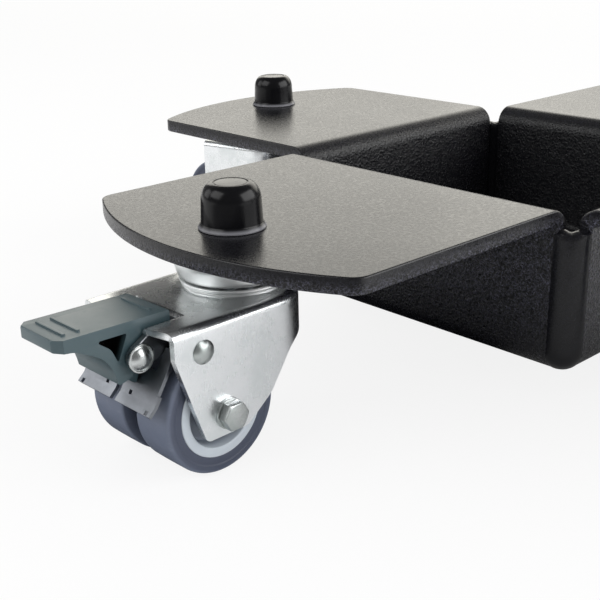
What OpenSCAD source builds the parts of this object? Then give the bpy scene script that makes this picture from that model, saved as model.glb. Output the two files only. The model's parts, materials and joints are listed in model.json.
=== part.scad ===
// Piano dolly: a sunken square tray that carries the foot of a piano, folded and welded
// from one steel plate, with four wings that each stand on a twin-wheel swivel castor.
// The front and back castors have a pedal brake, the left and right ones are plain.
// Frame: millimetres, +Z up, origin on the floor under the middle of the tray.
// Front is -Y, left is -X, back is +Y and right is +X.

/* [Deck] */
// Thickness of the coated steel plate
plate_t = 6.4; // [4:0.2:8]
// Width of a wing, which is also the straight length of a tray wall
wing_w = 151.8; // [120:0.2:180]
// Inside radius of every fold and of the tray's upright corners
fold_r = 3; // [2:0.5:5]
// Clearance between the tray and the floor
ground_gap = 13.4; // [8:0.2:24]
// Distance from the tray's middle to where a wing's straight side ends
wing_side = 196.4; // [185:0.2:215]
// Radius of a wing's rounded end
wing_end_r = 140; // [110:1:200]
// Radius of a wing's two outer corners
wing_corner_r = 8; // [4:0.5:16]
// Distance from the tray's middle to a castor's swivel axis
castor_pitch = 187.4; // [180:0.2:195]

/* [Wheel] */
// Diameter over the tread
wheel_d = 50; // [44:1:56]
// Gap between the two tyres of a castor
wheel_gap = 8.6; // [6:0.2:12]
// Width of a tyre
tyre_w = 19; // [16:0.5:20]
// Thickness of a tyre from rim to tread
tyre_t = 6.4; // [4:0.2:8]
// Height of the tread's crown
tread_crown = 0.1; // [0.1:0.1:1]
// Radius of a tyre's shoulders
shoulder_r = 1.2; // [0.8:0.1:3]
// Thickness of a rim's barrel
rim_t = 3.9; // [2.5:0.1:5]
// Thickness of a rim's web
web_t = 4; // [3:0.5:6]
// Radius of a rim's hub
hub_r = 8.5; // [7:0.5:10]

/* [Fork] */
// Distance from the swivel axis to the axle, measured level
castor_trail = 28; // [24:0.5:34]
// Width over the two cheeks
fork_w = 54; // [50:0.5:60]
// Thickness of the pressed sheet
fork_t = 2.5; // [2:0.1:3]
// Height of the fork's top face above the tread
crown_gap = 12; // [11:0.5:16]
// Outside radius of the edge between top and cheeks
fork_edge_r = 3.2; // [3.1:0.1:5]
// Distance from the swivel axis to the rounded front skirt
fork_nose = 18.5; // [18:0.5:24]
// Reach of a braked fork's top past the axle
brake_tail = 25; // [22:0.5:28]
// Reach of a plain fork's top past the axle
plain_tail = 10; // [9:0.5:14]
// Reach of a cheek's foot past the axle
foot_out = 10.6; // [10:0.1:14]
// Reach of a cheek's foot before the axle
foot_in = 9; // [8:0.2:12]
// Depth of a cheek's foot below the axle
foot_drop = 8.2; // [7.5:0.1:10]
// Height of the skirt's lower edge above the axle
skirt_up = 22; // [19:0.5:26]
// Swivel angle of the braked castors as shown
brake_turn = 1.1; // [-180:0.1:180]
// Swivel angle of the plain castors as shown
plain_turn = 13; // [-180:0.1:180]

/* [Swivel] */
// Diameter of the stem bolt
stem_d = 10; // [8:1:12]
// Height of the castor above the fork's top face
head_rise = 15.2; // [14:0.2:20]
// Largest radius of the swivel head
head_r = 23.1; // [22:0.1:24]
// Thickness of the swivel head's sheet
head_t = 2.5; // [2:0.1:3]
// Radius of the fork's race collar
collar_r = 21.3; // [20.5:0.1:22.5]
// Height of the race collar
collar_h = 3.3; // [2:0.1:4]
// Gap between the collar and the swivel head
race_gap = 0.7; // [0.4:0.1:1.5]
// Diameter of a race ball
ball_d = 4; // [3:0.5:5]
// Radius of the ring of balls
ball_ring_r = 17; // [15:0.5:18]
// Number of balls in a race
ball_count = 16; // [8:1:20]

/* [Fasteners] */
// Width across flats of the stem nut
stem_nut_af = 17; // [15:1:17]
// Height of the stem nut
stem_nut_h = 8; // [6:0.5:9]
// Diameter of the stem washer
stem_washer_d = 20; // [18:0.5:20]
// Thickness of the stem washer
stem_washer_t = 2; // [1.5:0.1:2.5]
// Length of stem that shows above the nut
stem_end = 2.5; // [1:0.5:3]
// Diameter of a nut cap's body
cap_d = 23.4; // [23:0.1:26]
// Diameter of a nut cap's flange
cap_flange_d = 26; // [26:0.5:30]
// Height of a nut cap
cap_h = 17.4; // [17:0.1:22]
// Wall of a nut cap
cap_t = 1.45; // [1.2:0.05:1.5]
// Radius of a nut cap's top edge
cap_edge_r = 4; // [2:0.5:5]
// Diameter of the shallow dish in a nut cap's top
cap_dish_d = 12.4; // [8:0.2:14]
// Diameter of the axle bolt
axle_d = 6; // [5:0.5:7]
// Width across flats of the axle bolt and nut
axle_af = 10; // [10:0.5:12]
// Height of the axle bolt's head
axle_head_h = 4; // [3:0.5:5]
// Height of the axle nut
axle_nut_h = 5; // [4:0.5:6]
// Thickness of an axle washer
axle_washer_t = 1; // [0.8:0.1:1.6]
// Diameter of an axle washer
axle_washer_d = 12; // [12:0.5:14]
// Outside diameter of the axle sleeve
sleeve_d = 9; // [8.5:0.5:10]

/* [Brake] */
// Distance of the pedal pin from the tread, along the line from the axle
pin_gap = 14.3; // [13:0.1:16]
// Angle of that line above level
pin_angle = 43.8; // [42:0.1:46]
// Diameter of the pedal pin
pin_d = 5; // [4:0.5:5.5]
// Diameter of the pedal pin's domed heads
pin_head_d = 10.6; // [9:0.2:12]
// Height of the pedal pin's domed heads
pin_head_h = 2.6; // [1.5:0.1:3]
// Distance of the leaf rivet from the tread, along the line from the axle
rivet_gap = 3.9; // [3.8:0.1:5]
// Angle of that line above level
rivet_angle = 69.7; // [68:0.1:72]
// Diameter of the leaf rivet
rivet_d = 4; // [3:0.5:4]
// Diameter of the leaf rivet's domed heads
rivet_head_d = 9; // [7:0.5:10]
// Height of the leaf rivet's domed heads
rivet_head_h = 1.9; // [1:0.1:2.5]
// Distance from the axle to the notch in the fork's top
notch_out = 8; // [6:0.1:9]
// Width of the pedal
pedal_w = 24.8; // [22:0.2:26]
// Reach of the pedal past its pin
pedal_reach = 30.2; // [26:0.2:36]
// Reach of the pedal's inner end before its pin
pedal_back = 15.6; // [13:0.1:16]
// Height of the tread face over the pin, at the pedal's inner end
pedal_rise = 12.7; // [11.2:0.1:14]
// Slope of the pedal's tread face
pedal_slope = 1.5; // [0:0.1:6]
// Thickness of the pedal's pad
pedal_t = 4.4; // [3.6:0.1:5]
// Chamfer of the pedal's outer corners
pedal_chamfer = 3; // [1:0.5:5]
// Thickness of the rib between the pedal's two side pockets
pedal_rib_t = 3; // [2:0.5:6]
// Thickness of the brake leaf
leaf_t = 1.5; // [1.2:0.1:1.8]
// Width of the brake leaf
leaf_w = 44; // [42:0.5:46]
// Gap between the leaf's two fingers
leaf_split = 3; // [2:0.5:6]

/* [Hidden] */
$fn = 64;

// Clearances
turn_gap = 0.05;   // radial, shaft turning in a bore
lift_gap = 0.1;    // axial, between faces that slide past each other
bolt_gap = 0.25;   // radial, bolt in its drilled hole
seat_gap = 0.02;   // radial, piece pressed on another
sheet_gap = 0.4;   // between sheet parts that move past each other
rim_gap = 0.3;     // axial, wheel beside its neighbour and the cheek
over = 1;          // how far a cutter runs past what it cuts

// Colours
coat_black = [0.09, 0.09, 0.10];
cap_black = [0.05, 0.05, 0.06];
zinc = [0.80, 0.82, 0.84];
steel = [0.62, 0.64, 0.66];
tyre_grey = [0.36, 0.39, 0.45];
rim_grey = [0.70, 0.73, 0.77];
pedal_grey = [0.42, 0.50, 0.51];

// Castors: the way each wing points, the swivel angle and whether it has a brake
FRONT = 0;
LEFT = 1;
BACK = 2;
RIGHT = 3;
wing_angle = [-90, 180, 90, 0];
braked = [true, false, true, false];
function turn_of(k) = braked[k] ? brake_turn : plain_turn;

// Heights and radii that follow from the driving sizes
wheel_r = wheel_d / 2;
stem_r = stem_d / 2;
axle_r = axle_d / 2;
sleeve_r = sleeve_d / 2;
pin_r = pin_d / 2;
rivet_r = rivet_d / 2;
fork_top = wheel_d + crown_gap;
deck_under = fork_top + head_rise;
deck_top = deck_under + plate_t;
fold_out = fold_r + plate_t;
tray_half = wing_w / 2;
wall_out = tray_half + fold_out;
flat_start = wall_out + fold_r;
cheek_in = fork_w / 2 - fork_t;

// Axle, pin and rivet in a castor's own frame: X trails, Y is across, Z is up
axle = [castor_trail, wheel_r];
function from_axle(gap, angle) = axle + (wheel_r + gap) * [cos(angle), sin(angle)];
pin = from_axle(pin_gap, pin_angle);
rivet = from_axle(rivet_gap, rivet_angle);

// Bends of the brake leaf in the same frame, from its upper edge down to its lip
leaf_top = from_axle(7.5, 58.2);
leaf_mid = from_axle(4.6, 42.5);
leaf_fold = from_axle(4.3, 27.4);
leaf_knee = from_axle(4.8, 20);
leaf_lip = from_axle(6.9, 13.2);
leaf_line = [leaf_top, leaf_mid, leaf_fold, leaf_knee, leaf_lip];

// Places a castor's piece under its wing
module at_castor(k) {
    rotate([0, 0, wing_angle[k]])
        translate([castor_pitch, 0, 0])
            rotate([0, 0, turn_of(k)])
                children();
}

// The same piece on each of the four stems
module each_stem() {
    for (k = [FRONT, LEFT, BACK, RIGHT])
        at_castor(k) children();
}

// Turns an XY drawing up into the XZ plane and gives it a width across the castor
module across(width, middle = 0) {
    translate([0, middle, 0])
        rotate([90, 0, 0])
            linear_extrude(height = width, center = true)
                children();
}

// A round bar across the castor through a point of the XZ plane
module cross_bar(point, radius, from, to) {
    translate([point.x, to, point.y])
        rotate([90, 0, 0])
            cylinder(r = radius, h = to - from);
}

// A round cutter that runs past both faces of what it drills
module bore(radius, depth) {
    translate([0, 0, -over]) cylinder(r = radius, h = depth + 2 * over);
}

// A domed rivet head that sits on the plane y = 0 and rises along +Y
module dome_head(width, height) {
    ball_r = (width * width / 4 + height * height) / (2 * height);
    rotate([-90, 0, 0])
        rotate_extrude()
            intersection() {
                translate([0, height - ball_r]) circle(r = ball_r, $fn = 128);
                square([width / 2, height]);
            }
}

// Corner points of an outline, each rounded to its own radius: [x, y, radius]
function unit(v) = v / norm(v);
function corner_arc(a, b, c, r) =
    r <= 0 ? [b] :
    let (u = unit(a - b), w = unit(c - b), half = acos(u * w) / 2, reach = r / tan(half),
         mid = b + unit(u + w) * r / sin(half), p = b + u * reach, q = b + w * reach,
         from = atan2(p.y - mid.y, p.x - mid.x), raw = atan2(q.y - mid.y, q.x - mid.x) - from,
         sweep = raw > 180 ? raw - 360 : raw < -180 ? raw + 360 : raw, steps = 6)
    [for (i = [0:steps]) mid + r * [cos(from + sweep * i / steps), sin(from + sweep * i / steps)]];
function rounded(points) =
    let (n = len(points), at = [for (p = points) [p.x, p.y]])
    [for (i = [0:n - 1])
        each corner_arc(at[(i + n - 1) % n], at[i], at[(i + 1) % n], points[i][2])];

// Quarter of a fold's ring, in the quadrant that faces (sx, sz)
module fold_ring(sx, sz) {
    intersection() {
        difference() {
            circle(r = fold_out);
            circle(r = fold_r);
        }
        scale([sx, sz]) square(fold_out + over);
    }
}

// Section of a tray wall with its lower fold; x is measured from the fold's centre
module wall_section() {
    translate([0, ground_gap + fold_out]) fold_ring(1, -1);
    translate([fold_r, ground_gap + fold_out])
        square([plate_t, deck_top - ground_gap - 2 * fold_out]);
}

// Outline of a wing's flat part, which points along +X
module wing_outline() {
    end_x = wing_side - sqrt(wing_end_r * wing_end_r - tray_half * tray_half);
    corner_y = tray_half - wing_corner_r;
    corner_x = end_x + sqrt(pow(wing_end_r - wing_corner_r, 2) - corner_y * corner_y);
    ray = unit([corner_x - end_x, corner_y]) * wing_end_r * 1.5;
    translate([flat_start, -tray_half]) square([corner_x - flat_start, wing_w]);
    for (s = [-1, 1])
        translate([corner_x, s * corner_y]) circle(r = wing_corner_r);
    intersection() {
        translate([end_x, 0]) circle(r = wing_end_r, $fn = 256);
        polygon([[end_x, 0], [end_x + ray.x, -ray.y], [end_x + ray.x, ray.y]]);
        translate([flat_start, -tray_half]) square([wing_end_r * 2, wing_w]);
    }
}

module wing_with_wall() {
    across(wing_w) {
        translate([tray_half, 0]) wall_section();
        translate([flat_start, deck_top - fold_out]) fold_ring(-1, 1);
        translate([tray_half - over, ground_gap]) square([over, plate_t]);
        translate([flat_start, deck_under]) square([over, plate_t]);
    }
    translate([0, 0, deck_under]) linear_extrude(height = plate_t) wing_outline();
}

module deck() {
    color(coat_black)
        difference() {
            union() {
                translate([-tray_half, -tray_half, ground_gap]) cube([wing_w, wing_w, plate_t]);
                for (k = [FRONT, LEFT, BACK, RIGHT])
                    rotate([0, 0, wing_angle[k]]) wing_with_wall();
            }
            each_stem()
                translate([0, 0, deck_under]) bore(stem_r + bolt_gap, plate_t);
        }
}

// The upright corners of the tray, filled and ground round
module corner_welds() {
    color(coat_black)
        for (k = [0:3])
            rotate([0, 0, 90 * k])
                translate([tray_half, tray_half, 0])
                    rotate_extrude(angle = 90) wall_section();
}

// Stem, its washer, nut and cap, and the swivel head
thrust_t = 1.5;
thrust_rim = 1;
stem_head_h = 4;
stem_head_rim = 3.5;
stem_head_r = stem_r + stem_head_rim;
thrust_r = stem_head_r + thrust_rim;
thrust_top = fork_top - fork_t - lift_gap;

module stem_bolts() {
    foot = thrust_top - thrust_t - stem_head_h;
    tip = deck_top + stem_washer_t + stem_nut_h + stem_end;
    color(zinc)
        each_stem() {
            translate([0, 0, foot]) cylinder(r = stem_head_r, h = stem_head_h);
            translate([0, 0, foot]) cylinder(r = stem_r, h = tip - foot);
        }
}

module thrust_washers() {
    color(steel)
        each_stem()
            translate([0, 0, thrust_top - thrust_t])
                difference() {
                    cylinder(r = thrust_r, h = thrust_t);
                    bore(stem_r + turn_gap, thrust_t);
                }
}

module stem_washers() {
    color(zinc)
        each_stem()
            translate([0, 0, deck_top])
                difference() {
                    cylinder(d = stem_washer_d, h = stem_washer_t);
                    bore(stem_r + bolt_gap, stem_washer_t);
                }
}

module stem_nuts() {
    color(zinc)
        each_stem()
            translate([0, 0, deck_top + stem_washer_t])
                difference() {
                    cylinder(d = stem_nut_af / cos(30), h = stem_nut_h, $fn = 6);
                    bore(stem_r + seat_gap, stem_nut_h);
                }
}

cap_flange_h = 1.2;
cap_flare_h = 1;
cap_dish_h = 0.5;

module nut_caps() {
    cap_r = cap_d / 2;
    hollow_h = cap_h - cap_t - cap_dish_h;
    color(cap_black)
        each_stem()
            translate([0, 0, deck_top])
                difference() {
                    rotate_extrude() {
                        square([cap_flange_d / 2, cap_flange_h]);
                        polygon([[0, cap_flange_h], [cap_flange_d / 2, cap_flange_h],
                                 [cap_r, cap_flange_h + cap_flare_h], [0, cap_flange_h + cap_flare_h]]);
                        square([cap_r, cap_h - cap_edge_r]);
                        square([cap_r - cap_edge_r, cap_h]);
                        translate([cap_r - cap_edge_r, cap_h - cap_edge_r]) circle(r = cap_edge_r);
                    }
                    translate([0, 0, -over]) cylinder(r = cap_r - cap_t, h = hollow_h + over);
                    translate([0, 0, cap_h - cap_dish_h]) cylinder(d = cap_dish_d, h = cap_dish_h + over);
                }
}

// Ball race: a groove in the fork's collar and one in the swivel head, balls between
race_z = fork_top + collar_h + race_gap / 2;
head_foot = race_z + race_gap / 2;
race_clear = 0.08;
head_lip_r = 1.6;
head_edge_r = 2;

module race_groove() {
    translate([0, 0, race_z])
        rotate_extrude() translate([ball_ring_r, 0]) circle(r = ball_d / 2 + race_clear);
}

module swivel_heads() {
    track_in = ball_ring_r - ball_d;
    wall_in = head_r - head_t;
    stem_hole_r = stem_r + bolt_gap;
    color(zinc)
        each_stem()
            difference() {
                rotate_extrude()
                    polygon(rounded([
                        [track_in, head_foot, 0],
                        [head_r, head_foot, head_lip_r],
                        [head_r, deck_under, head_edge_r],
                        [stem_hole_r, deck_under, 0],
                        [stem_hole_r, deck_under - head_t, 0],
                        [wall_in, deck_under - head_t, 0],
                        [wall_in, head_foot + head_t, 0],
                        [track_in, head_foot + head_t, 0]
                    ]));
                race_groove();
            }
}

// The raised collar on the fork's top, with a step half way up
module race_collar() {
    step = 0.7;
    middle = fork_top + collar_h / 2;
    top = fork_top + collar_h;
    rotate_extrude()
        polygon([
            [0, fork_top - fork_t],
            [collar_r - step, fork_top - fork_t],
            [collar_r - step, middle],
            [collar_r, middle + step / 2],
            [collar_r, top],
            [0, top]
        ]);
}

module ball_race(k) {
    color(steel)
        at_castor(k)
            for (i = [0:ball_count - 1])
                rotate([0, 0, 360 * i / ball_count])
                    translate([ball_ring_r, 0, race_z]) sphere(d = ball_d, $fn = 32);
}

// Fork: a hood of even thickness, bent down all round but open at its tail
module hood_half(reach, inset) {
    edge = fork_edge_r - inset;
    side = reach - inset;
    top = fork_top - inset;
    square([side - edge, top]);
    square([side, top - edge]);
    translate([side - edge, top - edge]) circle(r = edge);
}

module hood_wall(reach) {
    difference() {
        hood_half(reach, 0);
        translate([-over, 0]) square([over * 2, fork_top - fork_t]);
        hood_half(reach, fork_t);
    }
}

module hood(tail) {
    spread = fork_w / 2 - fork_nose;
    rotate([90, 0, 90])
        linear_extrude(height = axle.x + tail)
            for (s = [0, 1])
                mirror([s, 0]) hood_wall(fork_w / 2);
    for (s = [-1, 1])
        translate([0, s * spread, 0])
            rotate([0, 0, 135 - 45 * s])
                rotate_extrude(angle = 90) hood_wall(fork_nose);
    across(2 * spread) mirror([1, 0]) hood_wall(fork_nose);
}

// Side view of the fork: the cheeks narrow to a foot round the axle, and the lower edge
// sweeps up to the skirt in two round bends
foot_r = [3, 4];
sweep_r = 12;
sweep_low = [12, 1];
sweep_high = [23, 5];
function cheek_outline(top_reach, bottom_reach) = rounded([
    [-fork_nose - over, fork_top + over, 0],
    [axle.x + top_reach, fork_top + over, 0],
    [axle.x + top_reach, fork_top - fork_t, 0],
    [axle.x + bottom_reach, axle.y - foot_drop, foot_r[0]],
    [axle.x - foot_in, axle.y - foot_drop, foot_r[1]],
    [axle.x - foot_in - sweep_low[0], axle.y + sweep_low[1], sweep_r],
    [axle.x - foot_in - sweep_high[0], axle.y + skirt_up - sweep_high[1], sweep_r],
    [-fork_nose - over, axle.y + skirt_up, 0]
]);

// Plan of the fork's tail, whose two corners stand back a little
tail_slant = 2.6;

module tail_cut(reach) {
    half = fork_w / 2 + over;
    linear_extrude(height = fork_top + over)
        polygon([[-fork_nose - over, -half], [reach - tail_slant, -half], [reach, -fork_w / 4],
                 [reach, fork_w / 4], [reach - tail_slant, half], [-fork_nose - over, half]]);
}

// Ear that is bent down from the notch's edge and holds the pedal pin
ear_y = pedal_w / 2 + sheet_gap;
ear_r = 4.6;
ear_root = 4;
ear_bends = [[2.4, 3.8], [-0.8, 0.1 - ear_r], [-6, -3]];

module ear_outline() {
    translate(pin) circle(r = ear_r);
    polygon([
        [axle.x + notch_out, fork_top - fork_t / 2],
        [axle.x + brake_tail, fork_top - fork_t / 2],
        for (bend = ear_bends) pin + bend,
        [axle.x + notch_out, fork_top - fork_t - ear_root]
    ]);
}

module fork(k) {
    tail = braked[k] ? brake_tail : plain_tail;
    foot = braked[k] ? foot_out : plain_tail;
    color(zinc)
        at_castor(k)
            difference() {
                union() {
                    intersection() {
                        hood(tail);
                        across(fork_w + 2 * over) polygon(cheek_outline(tail, foot));
                        tail_cut(axle.x + tail);
                    }
                    race_collar();
                    if (braked[k])
                        for (s = [-1, 1])
                            across(fork_t, s * (ear_y + fork_t / 2)) ear_outline();
                }
                translate([0, 0, fork_top - fork_t]) bore(stem_r + turn_gap, fork_t + collar_h);
                race_groove();
                cross_bar(axle, axle_r + bolt_gap, -fork_w, fork_w);
                if (braked[k]) {
                    cross_bar(pin, pin_r + seat_gap, -fork_w / 3, fork_w / 3);
                    cross_bar(rivet, rivet_r + seat_gap, -fork_w, fork_w);
                    translate([axle.x + notch_out, 0, fork_top - fork_t - over])
                        linear_extrude(height = fork_t + 2 * over)
                            polygon([[0, -ear_y], [brake_tail, -ear_y], [brake_tail, ear_y], [0, ear_y]]);
                }
            }
}

// Axle: bolt, washers under its head and nut, and the sleeve between the cheeks
axle_face = fork_w / 2 + axle_washer_t;
axle_thread_end = 1.5;

module axle_bolt(k) {
    color(zinc)
        at_castor(k) {
            translate([axle.x, axle_face + axle_head_h, axle.y])
                rotate([90, 90, 0])
                    cylinder(d = axle_af / cos(30), h = axle_head_h, $fn = 6);
            cross_bar(axle, axle_r, -axle_face - axle_nut_h - axle_thread_end, axle_face + axle_head_h / 2);
        }
}

module axle_nut(k) {
    color(zinc)
        at_castor(k)
            difference() {
                translate([axle.x, -axle_face, axle.y])
                    rotate([90, 90, 0])
                        cylinder(d = axle_af / cos(30), h = axle_nut_h, $fn = 6);
                cross_bar(axle, axle_r + seat_gap, -axle_face - 2 * axle_nut_h, 0);
            }
}

module axle_washers(k) {
    color(zinc)
        at_castor(k)
            difference() {
                union() {
                    cross_bar(axle, axle_washer_d / 2, fork_w / 2, axle_face);
                    cross_bar(axle, axle_washer_d / 2, -axle_face, -fork_w / 2);
                }
                cross_bar(axle, axle_r + bolt_gap, -fork_w, fork_w);
            }
}

module axle_sleeve(k) {
    color(steel)
        at_castor(k)
            difference() {
                cross_bar(axle, sleeve_r, -cheek_in + seat_gap, cheek_in - seat_gap);
                cross_bar(axle, axle_r + bolt_gap, -fork_w, fork_w);
            }
}

// A wheel's own frame: the drawing's x is the radius, its y the way from the castor's middle
module wheel_turned(k, side) {
    at_castor(k)
        translate([axle.x, 0, axle.y])
            rotate([-90 * side, 0, 0])
                rotate_extrude($fn = 128)
                    children();
}

tyre_in = wheel_gap / 2;
tyre_out = tyre_in + tyre_w;
barrel_r = wheel_r - tyre_t;

module rim(k, side) {
    hub_in = rim_gap;
    hub_out = cheek_in - rim_gap;
    middle = (tyre_in + tyre_out) / 2;
    color(rim_grey)
        wheel_turned(k, side) {
            translate([sleeve_r + turn_gap, hub_in])
                square([hub_r - sleeve_r - turn_gap, hub_out - hub_in]);
            translate([hub_r - over, middle - web_t / 2])
                square([barrel_r - hub_r, web_t]);
            translate([barrel_r - rim_t, tyre_in + seat_gap])
                square([rim_t, tyre_w]);
        }
}

module tyre(k, side) {
    edge_r = wheel_r - tread_crown;
    middle = (tyre_in + tyre_out) / 2;
    flat = tyre_w / 6;
    color(tyre_grey)
        wheel_turned(k, side)
            polygon(rounded([
                [barrel_r + seat_gap, tyre_in, 0],
                [edge_r, tyre_in, shoulder_r / 2],
                [wheel_r, middle - flat, 0],
                [wheel_r, middle + flat, 0],
                [edge_r, tyre_out, shoulder_r],
                [barrel_r + seat_gap, tyre_out, 0]
            ]));
}

// Brake pedal: a pad, a round boss on the pin and a cam that pushes the leaf, with a
// pocket in each side
pad_back = [pin.x - pedal_back, pin.y + pedal_rise];
pad_run = pedal_back + pedal_reach;
pad_front = pad_back + pad_run * [1, tan(pedal_slope)];
boss_r = 6.2;

// Bends of the pedal's underside and of its pockets: [x, z, radius] measured from the pin
pad_edge_r = 0.7;
pad_bend = [23, 1, 10];
pedal_arm = [[-4, 4, 0], [2, -7.5, 0], [7.6, -9, 1], [10, 1.5, 16]];
pocket_bends = [[2.6, 9.2, 0.6], [15.2, 9.5, 0.6], [9.4, 5.2, 6], [6.9, -0.6, 0.5]];
function from_pin(bend) = [pin.x + bend.x, pin.y + bend.y, bend.z];

module pedal_side() {
    difference() {
        union() {
            polygon(rounded([
                [pad_front.x, pad_front.y - pedal_t, pad_edge_r],
                [pad_front.x, pad_front.y, pad_edge_r],
                [pad_back.x, pad_back.y, pad_edge_r],
                [pad_back.x, pad_back.y - pedal_t, pad_edge_r],
                for (bend = pedal_arm) from_pin(bend),
                [pin.x + pad_bend.x, pad_front.y - pedal_t - pad_bend.y, pad_bend.z]
            ]));
            translate(pin) circle(r = boss_r);
        }
        translate(pin) circle(r = pin_r + turn_gap);
    }
}

module pedal_pocket() {
    polygon(rounded([for (bend = pocket_bends) from_pin(bend)]));
}

// Cam under the boss, whose rounded tip stays just clear of the leaf
cam_w = 17;
cam_gap = 0.3;
cam_tip_r = 1;
cam_along = 0.75;

module pedal_cam() {
    run = leaf_fold - leaf_mid;
    away = unit([-run.y, run.x]);
    tip = leaf_mid + run * cam_along + away * (leaf_t / 2 + cam_gap + cam_tip_r);
    difference() {
        union() {
            translate(tip) circle(r = cam_tip_r);
            polygon([
                pin + [-boss_r, 0],
                tip - away * cam_tip_r,
                tip + unit(run) * cam_tip_r,
                pin + [boss_r, -boss_r]
            ]);
        }
        translate(pin) circle(r = pin_r + turn_gap);
    }
}

// Plan of the pedal, with its outer corners cut off
module pedal_plan() {
    half = pedal_w / 2;
    shoulder_x = pad_front.x - pedal_chamfer;
    polygon([
        [pad_back.x - over, -half],
        [shoulder_x, -half],
        [pad_front.x, pedal_chamfer - half],
        [pad_front.x, half - pedal_chamfer],
        [shoulder_x, half],
        [pad_back.x - over, half]
    ]);
}

// Grip bars on the tread face: one near the fork, two near the outer end
grip_w = 1.2;
grip_rise = 0.6;
grip_inset = 4;
grip_back = 4.7;
grip_front = [11.9, 6.3];

module pedal_grips() {
    grip_len = pedal_w - 2 * grip_inset;
    translate([pad_back.x, 0, pad_back.y])
        rotate([0, -pedal_slope, 0])
            for (reach = [grip_back, pad_run - grip_front[0], pad_run - grip_front[1]])
                translate([reach, -grip_len / 2, -grip_rise])
                    cube([grip_w, grip_len, grip_rise * 2]);
}

module pedal(k) {
    pocket_depth = (pedal_w - pedal_rib_t) / 2;
    pocket_middle = (pedal_w - pocket_depth + over) / 2;
    color(pedal_grey)
        at_castor(k) {
            intersection() {
                difference() {
                    across(pedal_w) pedal_side();
                    for (s = [-1, 1])
                        across(pocket_depth + over, s * pocket_middle) pedal_pocket();
                }
                linear_extrude(height = fork_top * 2) pedal_plan();
            }
            across(cam_w) pedal_cam();
            pedal_grips();
        }
}

module pedal_pin(k) {
    end = ear_y + fork_t;
    color(zinc)
        at_castor(k) {
            cross_bar(pin, pin_r, -end, end);
            for (s = [-1, 1])
                translate([pin.x, s * end, pin.y])
                    scale([1, s, 1]) dome_head(pin_head_d, pin_head_h);
        }
}

module leaf_rivet(k) {
    end = fork_w / 2;
    color(zinc)
        at_castor(k) {
            cross_bar(rivet, rivet_r, -end, end);
            for (s = [-1, 1])
                translate([rivet.x, s * end, rivet.y])
                    scale([1, s, 1]) dome_head(rivet_head_d, rivet_head_h);
        }
}

// Brake leaf: a folded plate that hangs on the rivet and presses one finger on each tread.
// Its shank is a little narrower, its ears stand on the shank's edges, and each finger has
// two holes, given as the share of the way from fold to lip and the place across.
leaf_edge = 1;
leaf_ear_rim = 1.5;
leaf_hole = [1.6, 6];
leaf_hole_turn = 36;
leaf_holes = [[0.35, 7], [0.85, leaf_w / 2 - 2.4]];

// The leaf's sheet from bend i to bend j, seen from the side, with mitred bends
function leaf_across(i) =
    let (run = unit(leaf_line[i + 1] - leaf_line[i])) [-run.y, run.x];
function leaf_face(i, side) =
    let (before = leaf_across(max(i - 1, 0)), after = leaf_across(min(i, len(leaf_line) - 2)),
         mitre = unit(before + after))
    leaf_line[i] + mitre * side * leaf_t / 2 / (mitre * before);

module leaf_band(i, j) {
    polygon([for (n = [i:j]) leaf_face(n, 1), for (n = [j:-1:i]) leaf_face(n, -1)]);
}

module leaf_ear() {
    reach = rivet_r + leaf_ear_rim;
    translate(rivet) circle(r = reach);
    polygon([rivet + [0, reach], leaf_top, leaf_mid, rivet + [leaf_ear_rim, -reach + leaf_t / 4]]);
}

module brake_leaf(k) {
    shank_half = leaf_w / 2 - leaf_edge;
    finger = (leaf_w - leaf_split) / 2;
    shoulder = ear_y + fork_t + sheet_gap;
    wing = shank_half - shoulder;
    color(steel)
        at_castor(k)
            difference() {
                union() {
                    across(2 * shank_half) leaf_band(1, 2);
                    for (s = [-1, 1]) {
                        across(finger, s * (leaf_split + finger) / 2) leaf_band(2, 4);
                        across(wing, s * (shoulder + wing / 2)) leaf_band(0, 1);
                        across(leaf_t, s * (shank_half - leaf_t / 2)) leaf_ear();
                    }
                }
                cross_bar(rivet, rivet_r + turn_gap, -fork_w, fork_w);
                for (s = [-1, 1], place = leaf_holes) {
                    at = leaf_fold + (leaf_lip - leaf_fold) * place[0];
                    translate([at.x, s * place[1], at.y])
                        rotate([0, -leaf_hole_turn, 0])
                            cube([leaf_hole[1], leaf_hole[0], leaf_hole[0]], center = true);
                }
            }
}

deck();
corner_welds();
stem_bolts();
thrust_washers();
swivel_heads();
stem_washers();
stem_nuts();
nut_caps();
fork(FRONT);  // front_fork
ball_race(FRONT);  // front_ball_race
axle_bolt(FRONT);  // front_axle_bolt
axle_washers(FRONT);  // front_axle_washers
axle_nut(FRONT);  // front_axle_nut
axle_sleeve(FRONT);  // front_axle_sleeve
rim(FRONT, 1);  // front_rim_a
tyre(FRONT, 1);  // front_tyre_a
rim(FRONT, -1);  // front_rim_b
tyre(FRONT, -1);  // front_tyre_b
pedal(FRONT);  // front_pedal
pedal_pin(FRONT);  // front_pedal_pin
brake_leaf(FRONT);  // front_brake_leaf
leaf_rivet(FRONT);  // front_leaf_rivet
fork(LEFT);  // left_fork
ball_race(LEFT);  // left_ball_race
axle_bolt(LEFT);  // left_axle_bolt
axle_washers(LEFT);  // left_axle_washers
axle_nut(LEFT);  // left_axle_nut
axle_sleeve(LEFT);  // left_axle_sleeve
rim(LEFT, 1);  // left_rim_a
tyre(LEFT, 1);  // left_tyre_a
rim(LEFT, -1);  // left_rim_b
tyre(LEFT, -1);  // left_tyre_b
fork(BACK);  // back_fork
ball_race(BACK);  // back_ball_race
axle_bolt(BACK);  // back_axle_bolt
axle_washers(BACK);  // back_axle_washers
axle_nut(BACK);  // back_axle_nut
axle_sleeve(BACK);  // back_axle_sleeve
rim(BACK, 1);  // back_rim_a
tyre(BACK, 1);  // back_tyre_a
rim(BACK, -1);  // back_rim_b
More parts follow.
